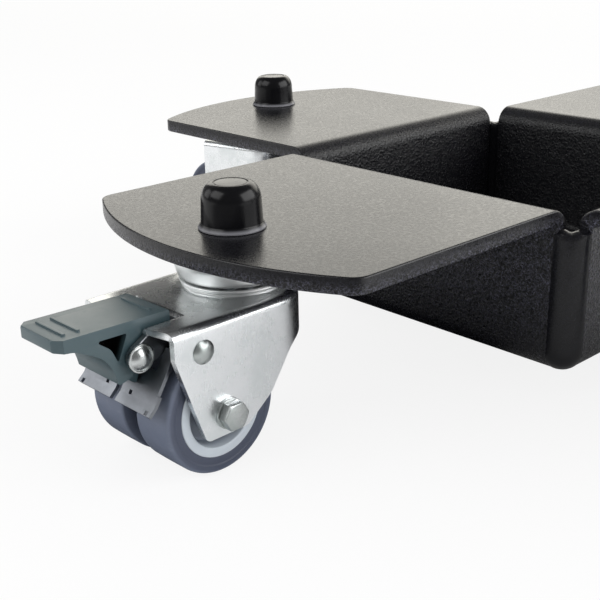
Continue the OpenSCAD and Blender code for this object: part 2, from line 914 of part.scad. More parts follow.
tyre(BACK, -1);  // back_tyre_b
pedal(BACK);  // back_pedal
pedal_pin(BACK);  // back_pedal_pin
brake_leaf(BACK);  // back_brake_leaf
leaf_rivet(BACK);  // back_leaf_rivet
fork(RIGHT);  // right_fork
ball_race(RIGHT);  // right_ball_race
axle_bolt(RIGHT);  // right_axle_bolt
axle_washers(RIGHT);  // right_axle_washers
axle_nut(RIGHT);  // right_axle_nut
axle_sleeve(RIGHT);  // right_axle_sleeve
rim(RIGHT, 1);  // right_rim_a
tyre(RIGHT, 1);  // right_tyre_a
rim(RIGHT, -1);  // right_rim_b
tyre(RIGHT, -1);  // right_tyre_b
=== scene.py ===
"""Piano dolly: a sunken steel tray with four wings on twin-wheel swivel castors.

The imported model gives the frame. This script makes the visible surfaces finer than the
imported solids, gives every piece its finish, and sets up floor, light and camera.
All lengths are metres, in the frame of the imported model: +Z up, the front castor at -Y.
"""

import json
import logging
import math
from dataclasses import dataclass, field
from enum import Enum

import bmesh
import bpy
import numpy as np
from mathutils import Matrix, Vector


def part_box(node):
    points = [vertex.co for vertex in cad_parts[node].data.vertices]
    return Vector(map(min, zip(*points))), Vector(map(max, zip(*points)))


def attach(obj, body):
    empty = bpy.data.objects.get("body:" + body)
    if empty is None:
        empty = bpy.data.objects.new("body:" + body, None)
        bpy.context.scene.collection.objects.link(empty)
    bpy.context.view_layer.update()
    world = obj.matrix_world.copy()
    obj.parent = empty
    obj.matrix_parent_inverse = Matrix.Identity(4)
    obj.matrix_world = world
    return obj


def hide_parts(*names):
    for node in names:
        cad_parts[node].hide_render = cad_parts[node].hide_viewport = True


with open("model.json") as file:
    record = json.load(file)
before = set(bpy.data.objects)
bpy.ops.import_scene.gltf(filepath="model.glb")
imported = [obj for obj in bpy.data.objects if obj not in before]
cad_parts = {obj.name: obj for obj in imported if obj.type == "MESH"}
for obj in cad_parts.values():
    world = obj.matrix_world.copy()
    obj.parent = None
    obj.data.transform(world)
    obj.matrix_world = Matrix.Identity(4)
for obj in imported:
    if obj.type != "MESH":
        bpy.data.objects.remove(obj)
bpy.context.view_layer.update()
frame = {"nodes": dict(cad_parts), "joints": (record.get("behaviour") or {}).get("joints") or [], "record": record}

logging.basicConfig(level=logging.INFO, format="%(message)s")
log = logging.getLogger("dolly")

# A millimetre, the distance within which points are one, and the bend within which faces are flat
MM = 0.001
MERGE = 1e-6
FLAT = math.radians(0.5)
# Point attribute of painted light: painted shade on tyre sides, in rim recesses and the pedal's pocket, and a
# painted highlight on cap brims
PAINTED_SHADING = "recess"
Points = np.ndarray
Piece = bpy.types.Object
Material = bpy.types.Material


class Slot(Enum):
    """The record's material slots."""

    COAT = "coat"
    ZINC = "zinc"
    STEEL = "steel"
    CAP = "cap"
    TYRE = "tyre"
    RIM = "rim"
    PEDAL = "pedal"


# Shader maths

class Sock:
    """An output socket that builds Math nodes when it is reckoned with."""

    def __init__(self, graph: "Graph", out: bpy.types.NodeSocket) -> None:
        """Wraps one output socket of a graph."""
        self.graph, self.out = graph, out

    def _math(self, operation: str, *values: object) -> "Sock":
        """Adds one Math node over Socks or numbers."""
        return self.graph.add("ShaderNodeMath", {"operation": operation},
                              dict(enumerate(values)))

    def __add__(self, other: object) -> "Sock":
        """Sum."""
        return self._math("ADD", self, other)

    def __mul__(self, other: object) -> "Sock":
        """Product."""
        return self._math("MULTIPLY", self, other)

    def __sub__(self, other: object) -> "Sock":
        """Difference."""
        return self._math("SUBTRACT", self, other)

    def __rsub__(self, other: object) -> "Sock":
        """Difference from a number."""
        return self._math("SUBTRACT", other, self)

    def __pow__(self, other: object) -> "Sock":
        """Power."""
        return self._math("POWER", self, other)

    def absolute(self) -> "Sock":
        """Size without sign."""
        return self._math("ABSOLUTE", self)

    def ramp(self, low: float, high: float, start: float = 0.0, end: float = 1.0) -> "Sock":
        """Goes smoothly from start to end while the value goes from low to high."""
        return self.graph.add("ShaderNodeMapRange", {"interpolation_type": "SMOOTHSTEP"},
                              {0: self, 1: low, 2: high, 3: start, 4: end})

    __radd__ = __add__
    __rmul__ = __mul__


class Graph:
    """The node tree of a material or a world."""

    def __init__(self, owner: Material | bpy.types.World) -> None:
        """Empties the owner's tree."""
        owner.use_nodes = True
        self.owner, self.tree = owner, owner.node_tree
        self.tree.nodes.clear()

    def add(self, kind: str, settings: dict, inputs: dict, output: object = 0) -> Sock:
        """Adds any node.

        Args:
            kind: the node's type.
            settings: attributes that are set first, such as an operation.
            inputs: values or Socks by input name or number.
            output: name or number of the output that is returned.
        Returns:
            The named output as a Sock.
        """
        node = self.tree.nodes.new(kind)
        for key, value in settings.items():
            setattr(node, key, value)
        for key, value in inputs.items():
            if isinstance(value, Sock):
                self.tree.links.new(value.out, node.inputs[key])
            else:
                node.inputs[key].default_value = value
        return Sock(self, node.outputs[output])

    @property
    def place(self) -> Sock:
        """The surface point in the object's own coordinates, in metres."""
        return self.add("ShaderNodeTexCoord", {}, {}, "Object")

    def axis(self, letter: str) -> Sock:
        """One coordinate of the surface point."""
        return self.add("ShaderNodeSeparateXYZ", {}, {0: self.place}, letter)

    def square(self) -> Sock:
        """The larger of |x| and |y|, whose level lines are squares round Z."""
        x, y = self.axis("X").absolute(), self.axis("Y").absolute()
        return ((x - y).absolute() + x + y) * 0.5

    def noise(self, size: float, detail: float = 2.0, rough: float = 0.5,
              stretch: tuple = (1, 1, 1), warp: float = 0.0, place: Sock | None = None) -> Sock:
        """Smooth noise from 0 to 1.

        Args:
            size: how large its lumps are about, in metres.
            detail: number of finer layers.
            rough: strength of each finer layer.
            stretch: scale along each axis; a small one draws the lumps out.
            warp: how far the noise bends itself.
            place: where it is read, if not at the surface point.
        Returns:
            The noise.
        """
        where = self.add("ShaderNodeMapping", {},
                         {"Vector": place or self.place, "Scale": stretch})
        return self.add("ShaderNodeTexNoise", {}, {
            "Vector": where, "Scale": 1 / size, "Detail": detail, "Roughness": rough,
            "Distortion": warp})

    def cells(self, size: float, place: Sock | None = None) -> Sock:
        """Distance to the nearest of scattered points about one size apart, with soft ridges."""
        return self.add("ShaderNodeTexVoronoi", {"feature": "SMOOTH_F1"}, {
            "Vector": place or self.place, "Scale": 1 / size, "Smoothness": 0.6}, "Distance")

    def recess(self) -> Sock:
        """How much painted shading the mesh gives each point, from 0 to 1."""
        return self.add("ShaderNodeAttribute", {"attribute_name": PAINTED_SHADING}, {}, "Fac")

    def ray(self, kind: str) -> Sock:
        """One for rays of a kind, such as Camera or Glossy, else nothing."""
        return self.add("ShaderNodeLightPath", {}, {}, f"Is {kind} Ray")

    def mix(self, factor: object, first: object, second: object) -> Sock:
        """Mixes two colours, each a Sock or three numbers."""
        colour = [v if isinstance(v, Sock) else (*v, 1.0) for v in (first, second)]
        return self.add("ShaderNodeMix", {"data_type": "RGBA"},
                        {0: factor, 6: colour[0], 7: colour[1]}, 2)

    def bump(self, height: Sock, depth: float) -> Sock:
        """Turns a height from 0 to 1 into a normal; depth is its real size in metres."""
        return self.add("ShaderNodeBump", {},
                        {"Height": height, "Strength": 1.0, "Distance": depth})

    def show(self, shader: Sock) -> None:
        """Ends the tree with a shader."""
        kind = "World" if isinstance(self.owner, bpy.types.World) else "Material"
        output = self.tree.nodes.new(f"ShaderNodeOutput{kind}")
        self.tree.links.new(shader.out, output.inputs["Surface"])

    def finish(self, inputs: dict) -> Material:
        """Ends a material's tree with a Principled shader and returns the material."""
        self.show(self.add("ShaderNodeBsdfPrincipled", {}, inputs))
        return self.owner


def linear(red: float, green: float, blue: float) -> tuple[float, float, float]:
    """A display colour in parts of 255 as linear light, by the usual screen curve."""
    shade = np.array([red, green, blue]) / 255
    light = np.where(shade <= 0.04045, shade / 12.92, ((shade + 0.055) / 1.055) ** 2.4)
    return tuple(float(v) for v in light)


# Finishes

# Where the coat changes: its grain calms up through the wings, and its painted glints come in out through the
# tray's walls and grow up those walls
WING_FACES = (77 * MM, 83 * MM)
TRAY_FACES = (80 * MM, 83 * MM)
WALL_HEIGHTS = (12 * MM, 55 * MM)
FULL_GRAIN = 0.6 * MM


@dataclass(frozen=True)
class PowderCoat:
    """Black powder coat with a leather-like grain, glossy enough to mirror the backdrop."""

    name: str = "powder_coat"
    colour: tuple = (0.0045, 0.0045, 0.006)
    dusty: tuple = linear(70, 70, 74)
    # Colour of the painted glints on the grain's crests
    rubbed: tuple = linear(102, 102, 118)
    grain: float = 1.4 * MM
    grain_depth: float = FULL_GRAIN
    calm: float = 0.045
    crest: float = 0.945
    roughness: float = 0.22
    wear: float = 0.35
    refraction: float = 1.45

    def build(self) -> Material:
        """Returns the material: folded noise for the grain, fine noise for the sparkle.

        The coat flowed smoother on the wings' tops, so the grain is calmer up there. Outside
        the tray the crests of the grain are painted paler, as painted glints that stand for
        highlights on the grain, most of all near the top.
        """
        g = Graph(bpy.data.materials.new(self.name))
        warp = g.noise(4 * self.grain)
        bent = g.add("ShaderNodeVectorMath", {"operation": "MULTIPLY_ADD"},
                     {0: g.add("ShaderNodeCombineXYZ", {}, dict.fromkeys(range(3), warp)),
                      1: (self.grain,) * 3, 2: g.place})
        wrinkle = 1 - (g.noise(self.grain, 3, 0.55, warp=0.6, place=bent) * 2 - 1).absolute()
        pebble = g.cells(0.8 * self.grain, bent)
        fine = g.noise(0.25 * self.grain)
        height = g.axis("Z")
        calm = height.ramp(*WING_FACES, 1.0, self.calm)
        relief = (wrinkle * 0.45 + pebble * 0.45 + fine * 0.12) * calm
        cloud = g.noise(45 * MM, 3)
        rough = pebble.ramp(0.3, 0.9, self.roughness + 0.06, self.roughness - 0.03)
        dust = g.noise(1.2 * MM, 4, 0.7).ramp(0.62, 0.8) * self.wear
        base = g.mix(dust * 0.25 + cloud * 0.02, self.colour, self.dusty)
        # Painted glints: outside the tray the grain's crests are painted paler, more so up the walls
        glint_reach = calm * g.square().ramp(*TRAY_FACES) * height.ramp(*WALL_HEIGHTS)
        painted_glints = wrinkle.ramp(self.crest, 1.0) * glint_reach * min(self.grain_depth / FULL_GRAIN, 1)
        return g.finish({
            "Base Color": g.mix(painted_glints, base, self.rubbed), "Roughness": rough + cloud * 0.05,
            "IOR": self.refraction, "Normal": g.bump(relief, self.grain_depth)})


@dataclass(frozen=True)
class Zinc:
    """Zinc-plated pressed steel: bright, a little cloudy, with drawing marks and small pits."""

    name: str = "zinc"
    colour: tuple = (0.92, 0.94, 0.96)
    tint: tuple = (0.81, 0.85, 0.86)
    roughness: float = 0.27
    streak: tuple = (1, 1, 0.12)
    mark_depth: float = 0.007 * MM
    pitted: tuple = (0.16, 0.17, 0.17)
    # Colour of the painted shade on the top plate
    oiled: tuple = (0.33, 0.34, 0.33)
    film_from: float | None = None
    film_fade: float = 0.8 * MM

    def build(self) -> Material:
        """Returns the material: long streaks, broad clouds, small spangles and dark pits.

        Above a given height the colour is painted darker: painted shade for a top plate that mirrors the dark wing
        above it.
        """
        g = Graph(bpy.data.materials.new(self.name))
        cloud = g.noise(16 * MM, 4, 0.6)
        spangle = g.cells(3.5 * MM)
        lines = g.noise(0.6 * MM, 3, 0.6, stretch=self.streak)
        pits = g.noise(0.9 * MM).ramp(0.72, 0.8)
        base = g.mix(cloud.ramp(0.35, 0.7), self.colour, self.tint)
        base = g.mix(pits * 0.45, base, self.pitted)
        if self.film_from:
            # Painted shade: above the given height the colour fades to a darker one
            top_shade = g.axis("Z").ramp(self.film_from, self.film_from + self.film_fade)
            base = g.mix(top_shade * (0.35 + cloud * 0.3), base, self.oiled)
        rough = self.roughness + (cloud - 0.5) * 0.22 + (lines - 0.5) * 0.08 + pits * 0.2
        relief = lines * 0.6 + spangle * 0.25 - pits * 0.8
        return g.finish({"Base Color": base, "Metallic": 1.0, "Roughness": rough,
                         "Normal": g.bump(relief, self.mark_depth)})


@dataclass(frozen=True)
class Rubber:
    """Grey non-marking rubber, matt with a fine mould grain and faint scuffs."""

    name: str = "tyre_rubber"
    colour: tuple = linear(102, 110, 128)
    scuffed: tuple = linear(120, 127, 141)
    # Painted shade: colour of the tyre's sides, darker than the tread
    side: tuple = linear(66, 72, 89)
    roughness: float = 0.5
    grain_depth: float = 0.02 * MM

    def build(self) -> Material:
        """Returns the material: fine grain, broad pale scuffs, and painted shade on the marked sides."""
        g = Graph(bpy.data.materials.new(self.name))
        cloud = g.noise(9 * MM, 4, 0.6) - 0.5
        grain = g.noise(0.35 * MM, 3, 0.6)
        scuff = g.noise(5 * MM, 3, 0.7, stretch=(1, 1, 2.5)).ramp(0.52, 0.75)
        base = g.mix(scuff * 0.45 + cloud * 0.3, self.colour, self.scuffed)
        return g.finish({"Base Color": g.mix(g.recess(), base, self.side),
                         "Roughness": self.roughness + cloud * 0.2,
                         "Normal": g.bump(grain, self.grain_depth)})


@dataclass(frozen=True)
class Plastic:
    """Moulded plastic with an even colour, fine texture and shallow flow marks."""

    name: str
    colour: tuple
    mark: tuple
    # Colour of the painted shading that the mesh marks
    recess: tuple
    roughness: float = 0.4
    grain_depth: float = 0.01 * MM
    refraction: float = 1.5
    recess_full: float = 1.0

    def build(self) -> Material:
        """Returns the material: slow colour drift along flow lines, and a fine grain.

        The painted colour comes in with the mesh's painted-shading attribute, fully from a given
        level on: painted shade in the rims' recesses and the pedal's pocket, a painted highlight
        on the caps' brims.
        """
        g = Graph(bpy.data.materials.new(self.name))
        flow = g.noise(12 * MM, 3, stretch=(1, 1, 3), warp=1.2) - 0.5
        smear = g.noise(3 * MM, 4, 0.65).ramp(0.55, 0.8)
        base = g.mix(flow * 0.5 + smear * 0.25, self.colour, self.mark)
        base = g.mix(g.recess().ramp(0, self.recess_full), base, self.recess)
        return g.finish({"Base Color": base, "IOR": self.refraction,
                         "Roughness": self.roughness + flow * 0.14 + smear * 0.08,
                         "Normal": g.bump(g.noise(0.4 * MM), self.grain_depth)})


class Finishes:
    """Every material of the dolly, built once and handed out by slot."""

    def __init__(self) -> None:
        """Builds the materials."""
        finishes = {
            Slot.COAT: PowderCoat(),
            Slot.ZINC: Zinc(),
            # Painted shade: this zinc is painted dark because the brake leaf mirrors the dark parts round it
            Slot.STEEL: Zinc("dull_zinc", (0.27, 0.285, 0.31), (0.2, 0.21, 0.23), 0.34,
                             (0.15, 0.15, 1)),
            # The cap's third colour is a painted highlight: pale grey on the brim, for the backdrop it mirrors
            Slot.CAP: Plastic("cap_plastic", (0.003, 0.003, 0.004), linear(24, 24, 28),
                              linear(118, 118, 123), 0.21, 0.006 * MM, 1.34),
            Slot.TYRE: Rubber(),
            # The rim's third colour is painted shade in its recess
            Slot.RIM: Plastic("rim_plastic", linear(190, 198, 206), linear(168, 178, 188),
                              linear(138, 146, 158), 0.42),
            # The pedal's third colour, nearly black, is painted shade in its pocket
            Slot.PEDAL: Plastic("pedal_plastic", linear(60, 80, 86), linear(76, 97, 103),
                                (0.001, 0.001, 0.001), 0.36, 0.012 * MM, 1.66, 0.35),
        }
        self.by_slot = {slot: finish.build() for slot, finish in finishes.items()}
        self.weld = PowderCoat("weld_coat", grain_depth=0.06 * MM, roughness=0.18,
                               wear=0.5, refraction=1.36).build()
        self.bolt = Zinc("bolt_zinc", (0.58, 0.60, 0.60), (0.44, 0.48, 0.47), 0.28,
                         mark_depth=0.004 * MM).build()
        self.cup = Zinc("cup_zinc", (0.93, 0.94, 0.94), (0.84, 0.87, 0.87), 0.42).build()
        # The fork's top plate gets painted shade above 61 mm, for the dark wing that it mirrors
        self.fork = Zinc("fork_zinc", film_from=61 * MM).build()
        # Painted shade: a darker copy of the zinc for the pin ears, which sit in shade
        self.shaded = Zinc("shaded_zinc", (0.36, 0.38, 0.40), (0.27, 0.29, 0.30), 0.3).build()

    def __getitem__(self, slot: Slot) -> Material:
        """The material of a slot."""
        return self.by_slot[slot]


# Meshes

@dataclass
class Shape:
    """Vertices and faces of one or more surfaces."""

    verts: Points = field(default_factory=lambda: np.zeros((0, 3)))
    faces: list = field(default_factory=list)

    def join(self, other: "Shape") -> "Shape":
        """This shape and another as one."""
        shift = len(self.verts)
        faces = self.faces + [tuple(i + shift for i in f) for f in other.faces]
        return Shape(np.vstack([self.verts, other.verts]), faces)

    def moved(self, matrix: Points) -> "Shape":
        """The shape carried by a 4 x 4 matrix; a mirroring one turns the faces round."""
        verts = self.verts @ matrix[:3, :3].T + matrix[:3, 3]
        turn = np.linalg.det(matrix[:3, :3]) < 0
        return Shape(verts, [f[::-1] for f in self.faces] if turn else list(self.faces))

    def copies(self, matrices: list) -> "Shape":
        """Repeats the shape.

        Args:
            matrices: one 4 x 4 matrix for each copy.
        Returns:
            All copies as one shape.
        """
        whole = Shape()
        for matrix in matrices:
            whole = whole.join(self.moved(matrix))
        return whole

    def doubled(self) -> "Shape":
        """The shape and its mirror image across y = 0."""
        return self.copies([np.eye(4), np.diag([1.0, -1.0, 1.0, 1.0])])


def spun(degrees: float) -> Points:
    """The matrix of a turn round Z."""
    return np.array(Matrix.Rotation(math.radians(degrees), 4, "Z"))


QUARTERS = [spun(90 * quarter) for quarter in range(4)]


def framed(x: Points, y: Points, z: Points, origin: Points) -> Points:
    """The matrix that carries X, Y and Z to three axes and zero to an origin."""
    return np.vstack([np.column_stack([x, y, z, origin]), [0, 0, 0, 1]])


def shifted(x: float, y: float, z: float) -> Points:
    """The matrix of a shift."""
    return framed(*np.eye(3), (x, y, z))


def lifted(plan: Points, height: float | Points) -> Points:
    """Points of a plan at one height, or each at its own."""
    return np.column_stack([plan, np.broadcast_to(height, len(plan))])


def sheet(grid: Points, closed_columns: bool = False) -> Shape:
    """A surface over a grid of points.

    Args:
        grid: rows x columns x 3 array of points.
        closed_columns: the last column joins the first.
    Returns:
        One quad per cell, its normal by the cross product of row and column steps.
    """
    rows, columns = grid.shape[:2]
    ids = np.arange(rows * columns).reshape(rows, columns)
    if closed_columns:
        ids = np.hstack([ids, ids[:, :1]])
    quads = np.stack([ids[:-1, :-1], ids[1:, :-1], ids[1:, 1:], ids[:-1, 1:]], -1)
    return Shape(grid.reshape(-1, 3), [tuple(q) for q in quads.reshape(-1, 4).tolist()])


def circle(angle: Points) -> Points:
    """Points of the unit circle at angles in radians."""
    return np.stack([np.cos(angle), np.sin(angle)], -1)


def arc(middle: tuple, radius: float, start: float, end: float, steps: int = 6) -> Points:
    """Points on a circle round a middle, from one angle in degrees to another."""
    return np.array(middle) + radius * circle(np.radians(np.linspace(start, end, steps + 1)))


def rounded(corners: list, steps: int = 6) -> Points:
    """An outline whose corners are turned into tangent arcs.

    At each corner the arc's middle lies on the bisector, at radius / sin(half the angle).

    Args:
        corners: x, y and radius of each corner.
        steps: segments in each arc.
    Returns:
        The outline's points.
    """
    points = []
    for i, (x, y, radius) in enumerate(corners):
        here = np.array([x, y], float)
        if radius <= 0:
            points.append(here[None])
            continue
        back = np.array(corners[i - 1][:2]) - here
        ahead = np.array(corners[(i + 1) % len(corners)][:2]) - here
        back, ahead = back / np.linalg.norm(back), ahead / np.linalg.norm(ahead)
        half = math.acos(float(np.clip(back @ ahead, -1, 1))) / 2
        middle = here + (back + ahead) / np.linalg.norm(back + ahead) * radius / math.sin(half)
        first, last = (here + way * radius / math.tan(half) - middle for way in (back, ahead))
        start = math.atan2(first[1], first[0])
        sweep = (math.atan2(last[1], last[0]) - start + math.pi) % (2 * math.pi) - math.pi
        points.append(middle + radius * circle(start + sweep * np.linspace(0, 1, steps + 1)))
    return np.vstack(points)


def closed(profile: Points) -> Points:
    """A profile that ends where it starts."""
    return np.vstack([profile, profile[:1]])


def lathe(profile: Points, steps: int = 96) -> Shape:
    """A profile turned round Z: at angle a lies (radius cos a, radius sin a, height).

    Args:
        profile: radius and height of its points, with the solid on the left. An end that
            reaches the axis is closed by merging.
        steps: columns round the axis.
    Returns:
        The turned surface.
    """
    turn = circle(np.linspace(0, 2 * np.pi, steps, endpoint=False))
    height = np.repeat(profile[:, None, 1:], steps, 1)
    return sheet(np.concatenate([profile[:, None, :1] * turn, height], -1), True)


def rim_steps(radius: float, thickness: float, steps: int = 4) -> tuple[Points, Points]:
    """Inset and depth of a rounded edge, from the upper face to the lower.

    Over the first quarter turn the inset is radius (1 - sin a) and the depth
    radius (1 - cos a); the lower quarter mirrors it.

    Args:
        radius: radius of the rounding.
        thickness: distance between the two faces.
        steps: segments in each quarter turn.
    Returns:
        Insets and depths.
    """
    angle = np.linspace(0, np.pi / 2, steps + 1)
    inset, depth = radius * (1 - np.sin(angle)), radius * (1 - np.cos(angle))
    return np.r_[inset, inset[::-1]], np.r_[depth, thickness - depth[::-1]]


def points_of(piece: Piece) -> Points:
    """A piece's points."""
    flat = np.empty(len(piece.data.vertices) * 3)
    piece.data.vertices.foreach_get("co", flat)
    return flat.reshape(-1, 3)


def mark_painted_shading(piece: Piece, amount: Points) -> None:
    """Stores how much painted shading each point gets, from nothing to one."""
    layer = piece.data.attributes.new(PAINTED_SHADING, "FLOAT", "POINT")
    layer.data.foreach_set("value", np.clip(amount, 0, 1).astype(np.float32))


def linked(name: str, data: bpy.types.ID) -> Piece:
    """A new object of the scene."""
    thing = bpy.data.objects.new(name, data)
    bpy.context.scene.collection.objects.link(thing)
    return thing


def clean(mesh: bpy.types.Mesh, merge: float, flat: float = 0.0) -> None:
    """Merges points of a mesh, then joins its flat faces or drops its slivers.

    Args:
        mesh: the mesh that is changed.
        merge: distance within which points are one.
        flat: bend in radians within which faces are joined, or none to drop slivers.
    """
    soft = bmesh.new()
    soft.from_mesh(mesh)
    bmesh.ops.remove_doubles(soft, verts=soft.verts, dist=merge)
    if flat:
        bmesh.ops.dissolve_limit(soft, angle_limit=flat, verts=soft.verts, edges=soft.edges)
    else:
        bmesh.ops.dissolve_degenerate(soft, edges=soft.edges, dist=merge / 2)
    soft.to_mesh(mesh)
    soft.free()


@dataclass
class Workshop:
    """Turns shapes into finished pieces that ride on the right body.

    Every name of a piece, body or node that it is given gets its prefix.
    """

    finishes: Finishes
    prefix: str = ""

    def make(self, name: str, shape: Shape, slot: Slot, body: str, node: str = "",
             sharp: float = 35.0, material: Material | None = None) -> Piece:
        """Makes one piece.

        Args:
            name: the piece's name.
            shape: its surface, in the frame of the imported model.
            slot: the record's material slot.
            body: the body that it rides on.
            node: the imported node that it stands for, if any.
            sharp: edges that bend more than this many degrees stay sharp.
            material: a finish other than the slot's.
        Returns:
            The piece.
        """
        mesh = bpy.data.meshes.new(self.prefix + name)
        mesh.from_pydata(shape.verts.tolist(), [], shape.faces)
        clean(mesh, MERGE)
        return self.dress(name, mesh, slot, body, node, sharp, material)

    def soften(self, name: str, slot: Slot, body: str, node: str, bevel: float,
               sharp: float = 30.0) -> Piece:
        """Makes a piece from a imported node: flat faces joined and edges rounded.

        Args:
            name, slot, body, node, sharp: as for make.
            bevel: width of the rounding.
        Returns:
            The piece.
        """
        mesh = frame["nodes"][self.prefix + node].data.copy()
        mesh.name = self.prefix + name
        clean(mesh, 2 * MERGE, FLAT)
        return self.dress(name, mesh, slot, body, node, sharp, bevel=bevel)

    def dress(self, name: str, mesh: bpy.types.Mesh, slot: Slot, body: str, node: str,
              sharp: float, material: Material | None = None, bevel: float = 0.0) -> Piece:
        """Turns a mesh into a piece with its finish, smooth shading and body.

        Args:
            name, slot, body, node, sharp, material: as for make.
            mesh: the piece's mesh.
            bevel: width of its rounding, or none.
        Returns:
            The piece.
        """
        piece = linked(self.prefix + name, mesh)
        mesh.materials.clear()
        mesh.materials.append(material or self.finishes[slot])
        mesh.shade_smooth()
        mesh.set_sharp_from_angle(angle=math.radians(sharp))
        if bevel > 0:
            self.round_edges(piece, bevel, sharp)
        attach(piece, self.prefix + body)
        if node:
            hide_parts(self.prefix + node)
        log.info("%s: %d faces, rides on %s", piece.name, len(mesh.polygons), self.prefix + body)
        return piece

    @staticmethod
    def round_edges(piece: Piece, width: float, sharp: float) -> None:
        """Adds a Bevel modifier.

        Args:
            piece: the piece.
            width: width of the rounding.
            sharp: only edges that bend more than this many degrees are rounded.
        """
        bevel = piece.modifiers.new("edges", "BEVEL")
        bevel.width = width
        bevel.segments = 3
        bevel.limit_method = "ANGLE"
        bevel.angle_limit = math.radians(sharp)
        bevel.use_clamp_overlap = True
        bevel.harden_normals = True


# Deck

@dataclass
class Deck:
    """The folded plate: tray floor, four walls and four wings with rounded ends."""

    plate: float = 6.4 * MM
    wing_width: float = 151.8 * MM
    fold: float = 3 * MM
    ground_gap: float = 13.4 * MM
    wing_side: float = 196.4 * MM
    end_radius: float = 140 * MM
    corner_radius: float = 8 * MM
    edge: float = 0.7 * MM
    saddle: float = 0.8 * MM
    weld_proud: float = 0.12 * MM
    weld_wave: float = 0.09 * MM
    weld_reach: float = 2 * MM
    top: float = field(default_factory=lambda: float(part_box("deck")[1].z))

    def __post_init__(self) -> None:
        """Works out the fold lines from the driving sizes."""
        self.half = self.wing_width / 2
        self.fold_out = self.fold + self.plate
        self.fold_z = self.ground_gap + self.fold_out
        self.wall = self.top - self.ground_gap - 2 * self.fold_out
        self.turn_one = self.fold * np.pi / 2
        self.turn_two = self.fold_out * np.pi / 2
        self.flat_at = self.turn_one + self.wall + self.turn_two
        self.flat_start = self.half + self.fold_out + self.fold

    def folded(self, along: Points, across: Points, depth: float) -> Points:
        """Carries points of the flat blank to the folded plate of the +X wing.

        The lower fold turns by along / fold radius round its centre, the wall runs straight
        up, the upper fold turns back round its own centre, and the wing lies flat. The two
        faces of a fold share a centre.

        Args:
            along: places on the upper face, measured from the tray floor's edge.
            across: places across the wing.
            depth: distance from the upper face into the plate, square to it.
        Returns:
            The folded points.
        """
        past = along - self.turn_one
        one = np.clip(along / self.fold, 0, np.pi / 2)
        two = np.clip((past - self.wall) / self.fold_out, 0, np.pi / 2)
        level = np.minimum(along, 0) + np.maximum(along - self.flat_at, 0)
        x = self.half + level + self.fold * np.sin(one) + self.fold_out * (1 - np.cos(two))
        z = (self.fold_z + np.clip(past, 0, self.wall) - self.fold * np.cos(one)
             + self.fold_out * np.sin(two))
        lean = one - two
        return np.stack([x + depth * np.sin(lean), across, z - depth * np.cos(lean)], -1)

    def wing_outline(self, inset: float) -> Points:
        """Upper half of the wing's rounded end on the blank, from the side to the tip.

        The end is an arc of the end radius, and an arc of the corner radius touches it and
        the straight side.

        Args:
            inset: what both radii lose; their middles stay.
        Returns:
            Places along and across the blank.
        """
        end_x = self.wing_side - math.sqrt(self.end_radius ** 2 - self.half ** 2)
        corner_y = self.half - self.corner_radius
        reach = self.end_radius - self.corner_radius
        corner_x = end_x + math.sqrt(reach ** 2 - corner_y ** 2)
        lean = math.degrees(math.asin(corner_y / reach))
        corner = arc((corner_x, corner_y), self.corner_radius - inset, 90, lean, 9)
        end = arc((end_x, 0), self.end_radius - inset, lean, 0, 26)
        return np.vstack([corner, end[1:]]) + [self.flat_at - self.flat_start, 0]

    def blank(self, inset: float) -> tuple[Points, Points]:
        """Grid over one wing and wall of the blank.

        Args:
            inset: how far the grid stays within the free edges.
        Returns:
            Two arrays, places along and places across.
        """
        half_end = self.wing_outline(inset)
        end = np.vstack([half_end, half_end[-2::-1] * [1, -1]])
        rows = np.r_[np.linspace(0, self.turn_one, 9), self.turn_one + self.wall * 0.5,
                     self.turn_one + self.wall + np.linspace(0, self.turn_two, 15)]
        rows[0] -= inset
        wing = rows[-1] + np.linspace(0, 1, 8)[1:, None] * (end[:, 0] - rows[-1])
        along = np.vstack([np.repeat(rows[:, None], len(end), 1), wing])
        return along, np.tile(end[:, 1], (len(along), 1))

    def wing(self) -> Shape:
        """One wing and wall with both faces and a rounded edge along its three free sides."""
        insets, depths = rim_steps(self.edge, self.plate)
        upper, lower = (self.folded(*self.blank(insets[0]), depth) for depth in (0, self.plate))
        rim = [self.folded(*(np.r_[a[:-1, 0], a[-1], a[-2::-1, -1]] for a in self.blank(inset)),
                           depth) for inset, depth in zip(insets, depths)]
        return sheet(upper).join(sheet(lower[::-1])).join(sheet(np.array(rim)[:, ::-1]))

    def floor(self) -> Shape:
        """The tray's floor between the walls, with the wings' own spacing at its edges."""
        across = self.blank(self.edge)[1][0]
        x, y = np.meshgrid(across, across, indexing="ij")
        upper, lower = (np.stack([x, y, np.full_like(x, self.ground_gap + z)], -1)
                        for z in (self.plate, 0))
        return sheet(upper).join(sheet(lower[::-1]))

    def weld_profile(self) -> tuple[Points, int]:
        """Section of a welded corner and how many of its points lie on the outer face.

        It is the wall's own section: folds below, two straight faces and, on top, a bead 0.55
        times as high as a half circle.
        """
        neck = self.top - self.fold_out - self.saddle
        lower = arc((0, self.fold_z), self.fold_out, -90, 0, 10)
        inner = arc((0, self.fold_z), self.fold, 0, -90, 6)
        wall_z = np.linspace(lower[-1, 1], neck, 22)[1:]
        outer_wall = np.stack([np.full_like(wall_z, self.fold_out), wall_z], -1)
        inner_wall = outer_wall[::-1] * [0, 1] + [self.fold, 0]
        bead = arc(((self.fold + self.fold_out) / 2, neck), self.plate / 2, 0, 180, 12)
        bead[:, 1] = neck + (bead[:, 1] - neck) * 0.55
        profile = np.vstack([lower, outer_wall, bead[1:-1], inner_wall, inner])
        return profile, len(lower) + len(outer_wall) + len(bead) // 2

